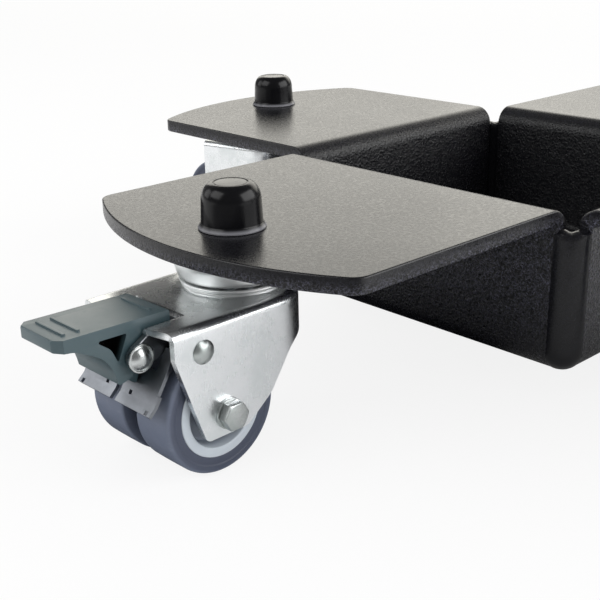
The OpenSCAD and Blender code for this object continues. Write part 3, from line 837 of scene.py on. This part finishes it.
    def weld(self) -> Shape:
        """One upright corner, filled with weld, coated and smooth.

        The section turns a quarter round the corner's own axis. Low waves along the height
        and round the corner give the weld's run, and its end on top sags between the two
        folds. On one side the weld runs out over the wall as a tongue: at a distance s its
        face stands 0.17 (1 - (s / reach) squared) - 0.05 mm over the wall's.
        """
        profile, outer_count = self.weld_profile()
        neck = self.top - self.fold_out - self.saddle
        along = np.gradient(profile, axis=0)
        along /= np.linalg.norm(along, axis=1)[:, None]
        rise, run_in = along[:, 1:], along[:, :1]
        outer = (np.arange(len(profile)) < outer_count)[:, None]
        angle = np.radians(np.linspace(0, 90, 19))
        radius, height = profile[:, :1], profile[:, 1:]
        upright = np.clip((height - self.fold_z) / (10 * MM), 0, 1)
        run = np.sin(height / (2.1 * MM) + 1.5 * np.sin(3 * angle)) * np.sin(2 * angle) ** 2
        outside = np.clip((radius - self.fold) / self.plate, 0, 1)
        lump = np.clip((height - neck) / (1.5 * MM), 0, 1)
        sag = lump * np.sin(2 * angle) * (0.3 * np.sin(7 * angle + 0.7) - 0.8) * MM
        proud = self.weld_proud * outer
        swollen = radius + self.weld_wave * run * upright * outside + proud * rise
        corner = np.stack([swollen * np.cos(angle), swollen * np.sin(angle),
                           height + sag - proud * run_in], -1)
        apart = np.linspace(self.weld_reach, 0.25 * MM, 8)
        lift = outer * 0.17 * MM * (1 - (apart / self.weld_reach) ** 2) - 0.05 * MM
        tongue = np.stack([radius + lift * rise, np.tile(-apart, (len(profile), 1)),
                           height - lift * run_in], -1)
        grid = np.concatenate([tongue, corner], 1)
        count = len(grid)
        ends = Shape(np.vstack([grid[:, 0], grid[:, -1]]),
                     [tuple(range(count)), tuple(range(2 * count - 1, count - 1, -1))])
        return sheet(np.concatenate([grid, grid[:1]])).join(ends)

    def build(self, shop: Workshop) -> None:
        """Makes the plate and its welded corners."""
        plate = self.floor().join(self.wing().copies(QUARTERS))
        shop.make("folded_plate", plate, Slot.COAT, "root", "deck", 40)
        corner = self.weld().moved(shifted(self.half, self.half, 0))
        shop.make("weld_fillets", corner.copies(QUARTERS), Slot.COAT, "root",
                  "corner_welds", material=shop.finishes.weld)


# Turned and pressed hardware

def hexagon(flats: float, height: float, hole: float = 0.0) -> Shape:
    """A hexagon head, or a nut with a hole, that stands on z = 0, its face chamfered round.

    At angle a the side lies at flats / 2 / cos(a from the nearest flat's middle). The
    chamfer is a cone of 30 degrees that starts at 0.95 of the flats' half width, so the side
    ends lower towards the corners. A nut has the chamfer below as well.

    Args:
        flats: width over two opposite flats.
        height: height of the head.
        hole: radius of the nut's hole.
    Returns:
        The closed surface.
    """
    sixth, steps = np.pi / 3, 60
    turn = np.linspace(0, 2 * np.pi, steps, endpoint=False)
    side = flats / 2 / np.cos((turn + sixth / 2) % sixth - sixth / 2)
    face = 0.475 * flats
    drop = (side - face) * math.tan(math.radians(30))
    lip = 0.12 * MM
    rows = [(face - lip, 0), (side - (side - face) * 0.6, drop * 0.4 + lip / 4),
            (side - lip / 2, drop), (side, drop + lip)]
    if hole:
        rows = [(hole, lip), (hole + lip, 0), *rows]
        rows += [(radius, height - depth) for radius, depth in rows[::-1]] + rows[:1]
    else:
        rows = [(0, 0), *rows, (side, height - lip), (side - lip, height), (0, height)]
    grid = [lifted((radius * circle(turn).T).T, height - depth) for radius, depth in rows]
    return sheet(np.stack(grid[::-1]), True)


def dome(width: float, height: float, brim: float, flange: float = 0.0) -> Shape:
    """A rivet head on z = 0: a brim, then a cap of a sphere that starts within its flange.

    The sphere's radius is (half width squared + rise squared) / (2 rise). Between a flange
    and the cap runs a narrow groove.

    Args:
        width: the head's diameter.
        height: its height.
        brim: height of its upright edge.
        flange: width of the flange, or none.
    Returns:
        The surface.
    """
    foot, half = width / 2 - flange, width / 2
    groove = 0.35 * MM if flange else 0.0
    rise = height - brim + groove
    ball = (foot ** 2 + rise ** 2) / (2 * rise)
    start = math.degrees(math.asin(foot / ball))
    cap = arc((0, height - ball), ball, 90 - start, 90, 12)
    edge = [(0, 0), (half - 0.1 * MM, 0), (half, 0.1 * MM)]
    if flange:
        lip = 0.2 * MM
        edge += [(half, brim - lip), (half - 0.3 * lip, brim - 0.3 * lip), (half - lip, brim),
                 (foot + 1.6 * lip, brim), (foot + lip, brim - groove / 2),
                 (foot + 0.3 * lip, brim - groove)]
    else:
        edge.append((half, brim))
    return lathe(np.vstack([edge, cap]), 48)


def ring(inner: float, outer: float, height: float, edge: float = 0.15 * MM) -> Shape:
    """A washer that stands on z = 0, with rounded edges."""
    corners = [(inner, 0, edge), (outer, 0, edge), (outer, height, edge), (inner, height, edge)]
    return lathe(closed(rounded(corners, 3)), 64)


def plate(outline: Points, thickness: float, edge: float) -> Shape:
    """A flat plate from z = 0 up, with a rounded edge all round.

    Each outline point moves inwards along the mean of its two neighbours' normals, by the
    inset of the rounding at that depth. Both faces are one polygon.

    Args:
        outline: points of the plate's outline in XY.
        thickness: height of the plate.
        edge: radius of its rounding.
    Returns:
        The closed surface.
    """
    ahead = np.roll(outline, -1, 0) - outline
    ahead /= np.linalg.norm(ahead, axis=1)[:, None]
    normal = np.stack([ahead[:, 1], -ahead[:, 0]], -1)
    both = normal + np.roll(normal, 1, 0)
    both /= np.maximum((both * normal).sum(1), 0.5)[:, None]
    grid = [lifted(outline - both * inset, thickness - depth)
            for inset, depth in zip(*rim_steps(edge, thickness, 3))]
    side = sheet(np.stack(grid[::-1]), True)
    count = len(outline)
    last = (len(grid) - 1) * count
    side.faces += [tuple(range(last, last + count)), tuple(range(count - 1, -1, -1))]
    return side


@dataclass
class StemTops:
    """What stands on and under each wing: nut caps above, swivel heads below."""

    cap_radius: float = 11.7 * MM
    cap_height: float = 17.4 * MM
    flange_radius: float = 13 * MM
    shoulder: float = 6.8 * MM
    disc: float = 6.2 * MM
    head_radius: float = 23.1 * MM
    head_low: float = 66.0 * MM
    head_top: float = 77.18 * MM
    head_sheet: float = 2.5 * MM
    bore: float = 13 * MM
    cap_foot: float = 83.65 * MM

    def cap(self) -> Shape:
        """A cap: flared foot, slightly tapered wall, a shoulder and a shallow disc on top.

        The shoulder is a quarter of an ellipse.
        """
        foot, radius, disc, flange = self.cap_foot, self.cap_radius, self.disc, self.flange_radius
        top = foot - 0.05 * MM + self.cap_height
        dish, floor = top - 0.35 * MM, top - 0.12 * MM
        shoulder = [(disc + 0.75 * MM + (radius - disc - MM) * math.cos(t),
                     top + self.shoulder * (math.sin(t) - 1), 0)
                    for t in np.radians(np.linspace(0, 84, 13))]
        corners = [
            (0, foot, 0), (flange, foot, 0.25 * MM), (flange, foot + 0.65 * MM, 0.3 * MM),
            (radius + 0.15 * MM, foot + 2.25 * MM, 0.8 * MM), *shoulder,
            (disc + 0.55 * MM, top, 0.2 * MM), (disc + 0.35 * MM, dish, 0.1 * MM),
            (disc + 0.05 * MM, dish, 0.1 * MM), (disc - 0.1 * MM, floor, 0.1 * MM), (0, floor, 0)]
        return lathe(rounded(corners, 7))

    def head(self) -> Shape:
        """A swivel head: a pressed cup whose wall curls in to the race at its lower lip."""
        low, high, radius, within = self.head_low, self.head_top, self.head_radius, 6 * MM
        under = high + 0.02 * MM - self.head_sheet
        corners = [
            (self.bore, low, 0), (radius - 1.4 * MM, low, 2.6 * MM),
            (radius, low + 6 * MM, 9 * MM), (radius, high, 1.2 * MM),
            (within, high, 0), (within, under, 0),
            (radius - 3 * MM, under, 1.2 * MM), (radius - 4.2 * MM, low + self.head_sheet, 0),
            (self.bore, low + self.head_sheet, 0)]
        return lathe(closed(rounded(corners, 8)), 128)

    def build(self, shop: Workshop, stems: list) -> None:
        """Makes the four caps and the four heads, each set one piece."""
        places = [shifted(*stem) for stem in stems]
        caps = shop.make("domed_caps", self.cap().copies(places), Slot.CAP, "root",
                         "nut_caps", 50)
        # Painted highlight on the caps' brims
        above = points_of(caps)[:, 2] - self.cap_foot
        mark_painted_shading(caps, (1.95 * MM - above) / (0.5 * MM) * (above > 0.15 * MM))
        shop.make("swivel_cups", self.head().copies(places), Slot.ZINC, "root",
                  "swivel_heads", 50, shop.finishes.cup)


WHEEL_RADIUS = 25 * MM
CHEEK = 27 * MM
AXLE_X, AXLE_Z = 28 * MM, 25 * MM


def brake_point(gap: float, degrees: float) -> tuple[float, float]:
    """A point of the brake in side view, by its gap to the tread and its angle above level."""
    reach, angle = WHEEL_RADIUS + gap, math.radians(degrees)
    return AXLE_X + reach * math.cos(angle), AXLE_Z + reach * math.sin(angle)


PIN = brake_point(14.3 * MM, 43.8)
RIVET = brake_point(3.9 * MM, 69.7)


@dataclass
class Fork:
    """The pressed fork: a hood with two cheeks, its race collar and, with a brake, two ears.

    Lengths are in the castor's own frame: x trails from the stem, y runs across, z is up.
    """

    braked: bool
    sheet: float = 2.5 * MM
    top: float = 62 * MM
    bend: float = 3.2 * MM
    nose: float = 18.5 * MM
    notch_out: float = 8 * MM
    ear_y: float = 12.8 * MM
    slant: float = 2.6 * MM
    collar_radius: float = 21.3 * MM
    collar_height: float = 3.3 * MM
    boss_rise: float = 0.8 * MM
    boss_radius: float = 26.5 * MM
    foot_drop: float = 8.2 * MM

    def __post_init__(self) -> None:
        """Works out the reaches that depend on the kind of fork."""
        self.tail = AXLE_X + (25 if self.braked else 10) * MM
        self.foot = AXLE_X + (10.6 if self.braked else 10) * MM
        self.notch_x = AXLE_X + self.notch_out
        self.slant_x = self.notch_x if self.braked else self.tail - 12 * MM
        self.flat = CHEEK - self.bend

    def low_edge(self) -> tuple[Points, Points]:
        """Lower edge of a cheek in side view, as rising x and the z there."""
        x, z, front, foot_z = AXLE_X, AXLE_Z, -self.nose - MM, AXLE_Z - self.foot_drop
        corners = [
            (front, self.top + MM, 0), (self.tail, self.top + MM, 0),
            (self.tail, self.top - self.sheet, 0), (self.foot, foot_z, 3 * MM),
            (x - 9 * MM, foot_z, 4 * MM), (x - 21 * MM, z + MM, 12 * MM),
            (x - 32 * MM, z + 17 * MM, 12 * MM), (front, z + 22 * MM, 0)]
        outline = rounded(corners, 8)[2:]
        return tuple(outline[np.argsort(outline[:, 0], kind="stable")].T)

    def cheek(self, x: Points) -> Points:
        """Heights down a cheek, in five even steps from the bend to the lower edge.

        Args:
            x: where each column stands.
        Returns:
            A row of heights for each step.
        """
        start = self.top - self.bend
        low = np.minimum(np.interp(x, *self.low_edge()), start - 0.05 * MM)
        return start + np.linspace(0, 1, 6)[1:, None] * (low - start)

    def tail_at(self, y: Points) -> Points:
        """Where the top ends at a distance y from the middle: straight, then slanting back."""
        start = CHEEK / 2
        return self.tail - self.slant * np.clip((np.abs(y) - start) / start, 0, 1)

    def columns(self, start: float, end: float, first: float) -> list:
        """Plan points, outward normals and inner ends of the columns along one straight side.

        Args:
            start: x where the stretch starts.
            end: x where it ends.
            first: distance from the start to the first of the even columns.
        Returns:
            The three arrays, from the end to the start. Between the even columns stand the
            lower edge's own points.
        """
        low_x = self.low_edge()[0]
        fine = low_x[(low_x > start + 0.5 * MM) & (low_x < end - 0.5 * MM)]
        xs = spaced(np.r_[start, fine, np.arange(start + first, end, 2 * MM), end])[::-1]
        nothing = np.zeros_like(xs)
        return [np.stack([xs, nothing + CHEEK], -1), np.tile([0.0, 1.0], (len(xs), 1)),
                np.stack([xs, nothing], -1)]

    def raised(self, x: Points, y: Points) -> Points:
        """Height of the top face: it rises to the collar in a fillet, (1 - t) squared."""
        t = np.clip((np.hypot(x, y) - self.collar_radius)
                    / (self.boss_radius - self.collar_radius), 0, 1)
        return self.top + self.boss_rise * (1 - t) ** 2

    def skin(self, side: list, shares: Points, curl: bool = False) -> Shape:
        """Outer face of the hood over a set of columns.

        Each column runs from its inner end over the top to where the bend starts, round the
        bend by inset bend (1 - sin a) and drop bend (1 - cos a), and down the cheek to the
        lower edge.

        Args:
            side: plan points, outward normals and inner ends of the columns.
            shares: steps over the top, from 0 at the inner end to 1 at the bend.
            curl: the top starts with a quarter turn up from the ear.
        Returns:
            The surface.
        """
        point, normal, inner = side
        edge = point - normal * self.bend
        rows = []
        if curl:
            rows = [lifted(inner - [0, self.sheet * math.cos(a)],
                           self.top - self.sheet * (1 - math.sin(a)))
                    for a in np.radians(np.linspace(0, 90, 6))[:-1]]
        for share in shares:
            row = inner + share * (edge - inner)
            rows.append(lifted(row, self.raised(*row.T)))
        rows += [lifted(edge + normal * self.bend * math.sin(a),
                        self.top - self.bend * (1 - math.cos(a)))
                 for a in np.radians(np.linspace(0, 90, 7))[1:]]
        cheek = self.cheek(point[:, 0])
        grid = np.stack(rows + [lifted(point, z) for z in cheek])
        behind = np.clip((grid[..., 0] - self.slant_x) / (self.tail - self.slant_x), 0, 1)
        grid[..., 0] += behind * (self.tail_at(grid[..., 1]) - self.tail)
        if curl:
            grid[-len(cheek):, :, 2] = self.cheek(grid[-1, :, 0])
        return sheet(grid)

    def hood(self) -> Shape:
        """Outer face of the whole hood: nose, sides and, behind the notch, the two arms."""
        side = self.columns(0, self.notch_x if self.braked else self.tail, 2 * MM)
        spread = CHEEK - self.nose
        out = circle(np.radians(np.linspace(90, 180, 17))[1:])
        corner = (out * self.nose + [0, spread], out, np.zeros_like(out))
        across = np.linspace(spread, 0, 5)[1:]
        front = (np.stack([np.full_like(across, -self.nose), across], -1),
                 np.tile([-1.0, 0.0], (len(across), 1)), np.zeros((len(across), 2)))
        shares = np.r_[np.linspace(0, self.ear_y, 6),
                       np.linspace(self.ear_y, self.flat, 12)[1:]] / self.flat
        half = self.skin([np.vstack(parts) for parts in zip(side, corner, front)], shares)
        if self.braked:
            arm = self.columns(self.notch_x, self.tail, MM)
            arm[2][:, 1] = self.ear_y + self.sheet
            half = half.join(self.skin(arm, np.linspace(0, 1, 9), True))
        return half.doubled()

    def collar(self) -> Shape:
        """The race collar: two rings with a groove between, each with a rounded lip."""
        radius, foot, top = self.collar_radius, self.top - MM, self.top + self.collar_height
        lower, groove = radius - 0.7 * MM, radius - 1.1 * MM
        corners = [
            (0, top, 0), (radius - 4 * MM, top, 0), (radius, top, 0.5 * MM),
            (radius, top - 1.15 * MM, 0.4 * MM), (groove, top - 1.3 * MM, 0.1 * MM),
            (groove, top - 1.55 * MM, 0.1 * MM), (lower, top - 1.7 * MM, 0.3 * MM),
            (lower, self.top + 0.3 * MM, 0), (lower, foot, 0), (0, foot, 0)]
        return lathe(rounded(corners, 5)[::-1], 128)

    def ears(self) -> Shape:
        """The two ears that carry the pedal pin, each a rounded plate below the curled edge."""
        curl, (pin_x, pin_z) = self.top - self.sheet, PIN
        outline = np.vstack([arc(PIN, 4.6 * MM, -105, 62, 14),
                             [(self.tail - 0.2 * MM, curl), (self.notch_x, curl),
                              (self.notch_x, curl - 4 * MM), (pin_x - 6 * MM, pin_z - 3 * MM)]])
        upright = framed((1, 0, 0), (0, 0, 1), (0, -1, 0), (0, self.ear_y + self.sheet, 0))
        return plate(outline, self.sheet, 0.4 * MM).moved(upright).doubled()

    def build(self, shop: Workshop, place: Points) -> None:
        """Makes the fork's sheet, its collar and its ears on one castor.

        Args:
            shop: the castor's workshop.
            place: the matrix from the castor's own frame to the model's.
        """
        finishes = shop.finishes
        hood = shop.make("fork_sheet", self.hood().moved(place), Slot.ZINC, "castor", "fork",
                         40, finishes.fork)
        wall = hood.modifiers.new("wall", "SOLIDIFY")
        wall.thickness = self.sheet
        wall.offset = -1
        wall.use_even_offset = True
        shop.round_edges(hood, 0.35 * MM, 50)
        shop.make("race_collar", self.collar().moved(place), Slot.ZINC, "castor", "", 50,
                  finishes.cup)
        if self.braked:
            shop.make("pin_ears", self.ears().moved(place), Slot.ZINC, "castor", "", 50,
                      finishes.shaded)


def spaced(values: Points, gap: float = 0.25 * MM) -> Points:
    """Thins out values.

    Args:
        values: numbers in any order.
        gap: distance to the one before, and to the last, within which a value is left out.
    Returns:
        The sorted rest, with the first and the last.
    """
    values = np.sort(values)
    kept = [values[0]]
    for value in values[1:-1]:
        if value - kept[-1] > gap and values[-1] - value > gap:
            kept.append(value)
    return np.array(kept + [values[-1]])


# Castors

@dataclass
class Castor:
    """One castor: fork, axle and two wheels, and a pedal brake where it has one."""

    name: str
    wheel_gap: float = 8.6 * MM
    tyre_width: float = 19 * MM
    tyre: float = 6.4 * MM
    rim: float = 3.9 * MM
    web: float = 2 * MM
    hub_radius: float = 8.5 * MM
    sleeve_radius: float = 4.55 * MM
    hub_half: float = 24.2 * MM
    washer: float = 1 * MM
    head_flats: float = 10 * MM
    head_height: float = 4 * MM
    nut_height: float = 5 * MM

    def __post_init__(self) -> None:
        """Takes the castor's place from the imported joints."""
        joints = {j["name"]: j for j in frame["joints"]}
        spin = joints[f"{self.name}_wheel_a_spin"]
        self.axle = np.array(spin["pos_m"])
        self.across = np.array(spin["axis"]) / np.linalg.norm(spin["axis"])
        self.trail = np.cross(self.across, [0, 0, 1.0])
        self.stem = np.array([*joints[f"{self.name}_swivel"]["pos_m"][:2], 0.0])
        self.brake = f"{self.name}_pedal_hinge" in joints
        self.inner = self.wheel_gap / 2
        self.outer = self.inner + self.tyre_width
        self.barrel = WHEEL_RADIUS - self.tyre

    def facing(self, side: int, point: Points) -> Points:
        """The matrix that lays a lathe's Z along the axle, outwards on one side, at a point."""
        out = side * self.across
        return framed(self.trail, np.cross(out, self.trail), out, point)

    def at(self, side: int, x: float, z: float, out: float) -> Points:
        """The facing matrix at x and z of the side view, out from the middle to one side."""
        point = self.stem + self.trail * x + np.array([0, 0, z]) + self.across * side * out
        return self.facing(side, point)

    def tyre_profile(self) -> Points:
        """Section of a tyre: a nearly flat tread, rounded shoulders and a shallow side dish."""
        barrel, radius, inner, outer = self.barrel, WHEEL_RADIUS, self.inner, self.outer
        shoulder, dish = radius - 0.1 * MM, outer - 0.25 * MM
        corners = [
            (barrel, inner, 0.3 * MM), (shoulder, inner, 0.9 * MM),
            (radius, (2 * inner + outer) / 3, 20 * MM), (radius, (inner + 2 * outer) / 3, 20 * MM),
            (shoulder, outer, 1.5 * MM), (barrel + 3.4 * MM, outer, 0.6 * MM),
            (barrel + 2.8 * MM, dish, 0.3 * MM), (barrel, dish, 0.3 * MM)]
        return closed(rounded(corners, 5))

    def rim_profile(self) -> Points:
        """Section of a rim: barrel with a lipped face, web set back, and a hub tube."""
        barrel = self.barrel - 0.02 * MM
        within, middle = barrel - self.rim, (self.inner + self.outer) / 2
        low, high = middle - self.web, middle + self.web
        inner, outer = self.inner + 0.1 * MM, self.outer - 0.1 * MM
        hub, sleeve, hub_in = self.hub_radius, self.sleeve_radius, 0.3 * MM
        corners = [
            (sleeve, hub_in, 0.2 * MM), (hub, hub_in, 0.5 * MM), (hub, low, 1.2 * MM),
            (within, low, 1.2 * MM), (within, inner, 0.5 * MM), (barrel, inner, 0.3 * MM),
            (barrel, outer, 0.4 * MM), (within + 0.1 * MM, outer, 0.6 * MM),
            (within - 0.5 * MM, high, 1.2 * MM), (hub + 0.4 * MM, high, 1.2 * MM),
            (hub, self.hub_half, 0.5 * MM), (sleeve, self.hub_half, 0.2 * MM)]
        return closed(rounded(corners, 4))

    def wheels(self, shop: Workshop) -> None:
        """Makes both wheels, each a tyre on a rim, and marks painted shade on tyre sides and rim recesses."""
        parts = (("tread", "tyre", Slot.TYRE, self.tyre_profile()),
                 ("wheel_rim", "rim", Slot.RIM, self.rim_profile()))
        for side, letter in ((1, "a"), (-1, "b")):
            place = self.facing(side, self.axle)
            tread, rim = (
                shop.make(f"{name}_{letter}", lathe(profile).moved(place), slot,
                          f"wheel_{letter}", f"{node}_{letter}", 50)
                for name, node, slot, profile in parts)
            # Painted shade on the tyre's sides
            radius = self.from_axle(tread)[0]
            mark_painted_shading(tread, (WHEEL_RADIUS - 0.6 * MM - radius) / (1.2 * MM))
            # Painted shade in the rim's recess
            out = self.from_axle(rim)[1]
            mark_painted_shading(rim, (self.outer - 0.8 * MM - out) / (5 * MM))

    def from_axle(self, piece: Piece) -> tuple[Points, Points]:
        """Measures a piece from the axle.

        Args:
            piece: a piece of this castor.
        Returns:
            Each point's distance from the axle's line and from the castor's middle plane.
        """
        away = points_of(piece) - self.axle
        along = away @ self.across
        return np.linalg.norm(away - along[:, None] * self.across, axis=1), np.abs(along)

    def axle_fasteners(self, shop: Workshop) -> None:
        """Makes the axle bolt, its nut and its two washers.

        The shank's section is drawn 54 mm long and stretched to its own length.
        """
        side_view, seat = (AXLE_X, AXLE_Z), CHEEK + self.washer
        drawn, length = 54 * MM, 2 * seat + self.nut_height + 1.5 * MM
        section = rounded([(0, -drawn, 0), (2.6 * MM, -drawn, 0.2 * MM),
                           (3 * MM, 0.6 * MM - drawn, 0), (3 * MM, 0, 0), (0, 0, 0)], 3)
        at_head = self.at(1, *side_view, seat)
        bolt = hexagon(self.head_flats, self.head_height).moved(at_head @ spun(30))
        bolt = bolt.join(lathe(section * [1, length / drawn], 48).moved(at_head))
        nut = hexagon(self.head_flats, self.nut_height, 3.02 * MM)
        rings = ring(3.25 * MM, 6 * MM, self.washer)
        nut = nut.moved(self.at(-1, *side_view, seat) @ spun(30))
        rings = rings.copies([self.at(side, *side_view, CHEEK) for side in (1, -1)])
        for name, node, shape in (("hex_bolt", "axle_bolt", bolt), ("hex_nut", "axle_nut", nut),
                                  ("washers", "axle_washers", rings)):
            shop.make(name, shape, Slot.ZINC, "castor", node, material=shop.finishes.bolt)

    def brake_fasteners(self, shop: Workshop) -> None:
        """Makes the brake's domed pin and rivet, each a rod with a head at both ends."""
        for name, node, point, radius, out, head in (
                ("domed_pin", "pedal_pin", PIN, 2.5 * MM, 15.3 * MM,
                 dome(10.6 * MM, 2.6 * MM, 1.1 * MM, 0.9 * MM)),
                ("domed_rivet", "leaf_rivet", RIVET, 2 * MM, 27 * MM,
                 dome(9 * MM, 1.9 * MM, 0.3 * MM))):
            rod = lathe(np.array([(0, -out), (radius, -out), (radius, out), (0, out)]), 32)
            heads = head.copies([self.at(side, *point, out) for side in (1, -1)])
            shop.make(name, rod.moved(self.at(1, *point, 0)).join(heads), Slot.ZINC, "castor",
                      node, 50, shop.finishes.bolt)

    def build(self, shop: Workshop) -> None:
        """Makes the castor's visible pieces in a workshop that has its name as prefix."""
        self.wheels(shop)
        own_frame = framed(self.trail, self.across, (0, 0, 1), self.stem)
        Fork(self.brake).build(shop, own_frame)
        self.axle_fasteners(shop)
        if self.brake:
            self.brake_fasteners(shop)
            pedal = shop.soften("foot_pedal", Slot.PEDAL, "pedal", "pedal", 0.5 * MM, 40.0)
            # Painted shade in the pedal's pocket
            out = self.from_axle(pedal)[1]
            mark_painted_shading(pedal, (out > 0.2 * MM) & (out < 2 * MM))
            shop.soften("leaf_plate", Slot.STEEL, "leaf", "brake_leaf", 0.25 * MM)


# Room

@dataclass
class Lamp:
    """A soft rectangular lamp that faces a point."""

    name: str
    at: tuple
    aim: tuple
    size: tuple
    power: float
    colour: tuple = (1, 1, 1)

    def build(self) -> None:
        """Hangs the lamp."""
        data = bpy.data.lights.new(self.name, "AREA")
        data.color = self.colour
        data.shape = "RECTANGLE"
        data.size, data.size_y = self.size
        data.energy = self.power
        lamp = linked(self.name, data)
        lamp.location = self.at
        facing = Vector(self.aim) - Vector(self.at)
        lamp.rotation_euler = facing.to_track_quat("-Z", "Y").to_euler()


WARM = (1.0, 0.97, 0.885)
LAMPS = (
    Lamp("backdrop_light", (-1.8, 2.7, 1.3), (0, 0, 0.1), (5.2, 1.7), 50, WARM),
    Lamp("glow_light", (-1.17, 2.76, 1.35), (0, 0, 0.1), (1.83, 1.3), 3.5, WARM),
    Lamp("key_light", (-0.45, -1.6, 1.15), (0, -0.1, 0), (1.4, 1.2), 13.5),
    Lamp("side_light", (-1.3, -0.9, 0.6), (0, -0.2, 0), (0.8, 0.8), 3),
    Lamp("right_light", (1.2, 0.7, 0.7), (0, -0.15, 0.04), (1.7, 1.1), 21),
)


@dataclass
class Studio:
    """Floor, soft lights and the camera. Angles are degrees, focal and image pixels."""

    camera_at: tuple = (0.292068, -0.421467, 0.193970)
    heading: float = 47.472
    tilt: float = 20.627
    roll: float = -1.246
    focal: float = 1028.505
    image: float = 600.0
    sensor: float = 36.0
    floor_half: float = 20.0
    stem_y: float = -187 * MM

    def camera(self) -> None:
        """Puts the camera where the photograph was taken from."""
        turn, dip, roll = (math.radians(v) for v in (self.heading, self.tilt, self.roll))
        ahead = Vector((-math.sin(turn) * math.cos(dip), math.cos(turn) * math.cos(dip),
                        -math.sin(dip)))
        right = ahead.cross(Vector((0, 0, 1))).normalized()
        up = right.cross(ahead)
        right, up = (math.cos(roll) * right + math.sin(roll) * up,
                     -math.sin(roll) * right + math.cos(roll) * up)
        data = bpy.data.cameras.new("camera")
        data.sensor_width = self.sensor
        data.lens = self.focal / self.image * self.sensor
        data.clip_start = 0.01
        camera = linked("camera", data)
        camera.matrix_world = Matrix((right, up, -ahead)).transposed().to_4x4()
        camera.location = self.camera_at
        bpy.context.scene.camera = camera

    def floor(self) -> None:
        """A wide pale floor, nearly white to the camera, that keeps the shadow.

        To mirrors it is dark under the front wing and far out, as if black flags lay there,
        and pale in a ring round the front castor, on its right and far on the left.
        """
        mesh = bpy.data.meshes.new("floor")
        corners = np.array([(-1, -1, 0), (1, -1, 0), (1, 1, 0), (-1, 1, 0)]) * self.floor_half
        mesh.from_pydata(corners.tolist(), [], [(0, 1, 2, 3)])
        g = Graph(bpy.data.materials.new("pale_floor"))
        x, y = g.axis("X"), g.axis("Y")
        away = (x * x + (y - self.stem_y) ** 2) ** 0.5
        far = away.ramp(225 * MM, 255 * MM)
        ringed = away.ramp(75 * MM, 115 * MM) * (1 - far)
        right = x.ramp(5 * MM, 45 * MM) * y.ramp(-300 * MM, -200 * MM)
        left = x.ramp(-150 * MM, -220 * MM)
        near = g.square().ramp(178 * MM, 125 * MM) * x.ramp(58 * MM, 32 * MM)
        pale = 1 - (1 - ringed) * (1 - right) * (1 - left) * (1 - far * 0.3)
        unlit = 1 - pale * (1 - near)
        cloth = g.add("ShaderNodeBsdfDiffuse", {}, {
            "Color": g.mix(g.ray("Glossy") * unlit, (0.92, 0.92, 0.92), (0.05, 0.05, 0.06))})
        glow = g.add("ShaderNodeEmission", {}, {"Color": (1, 1, 1, 1), "Strength": 1.0})
        g.show(g.add("ShaderNodeMixShader", {}, {0: g.ray("Camera") * 0.86, 1: cloth, 2: glow}))
        mesh.materials.append(g.owner)
        linked("floor", mesh)

    def sky(self) -> None:
        """World light: 1 to the camera, 0.5 on the object and 0.2 in mirrors."""
        world = bpy.data.worlds.new("studio")
        bpy.context.scene.world = world
        g = Graph(world)
        strength = 0.5 + g.ray("Camera") * 0.5 - g.ray("Glossy") * 0.3
        g.show(g.add("ShaderNodeBackground", {},
                     {"Color": (1, 1, 1, 1), "Strength": strength}))

    def build(self) -> None:
        """Sets up the whole room."""
        self.camera()
        self.floor()
        self.sky()
        for lamp in LAMPS:
            lamp.build()
        bpy.context.scene.view_settings.view_transform = "Standard"


SLOT_OF = {row["node"]: Slot(row["material_slot"]) for row in frame["record"]["subparts"]}


def dress_packed(finishes: Finishes) -> None:
    """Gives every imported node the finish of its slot; those that are replaced stay hidden."""
    for name, node in frame["nodes"].items():
        node.data.materials.clear()
        node.data.materials.append(finishes[SLOT_OF[name]])


def corners(box: object) -> list:
    """A box as plain lists of numbers."""
    return [[float(v) for v in corner] for corner in box]


def main() -> None:
    """Builds the dolly and the room."""
    finishes = Finishes()
    dress_packed(finishes)
    shop = Workshop(finishes)
    Deck().build(shop)
    castors = [Castor(name) for name in ("front", "left", "back", "right")]
    StemTops().build(shop, [castor.stem for castor in castors])
    for castor in castors:
        castor.build(Workshop(finishes, f"{castor.name}_"))
    Studio().build()


if __name__ == "__main__":
    main()
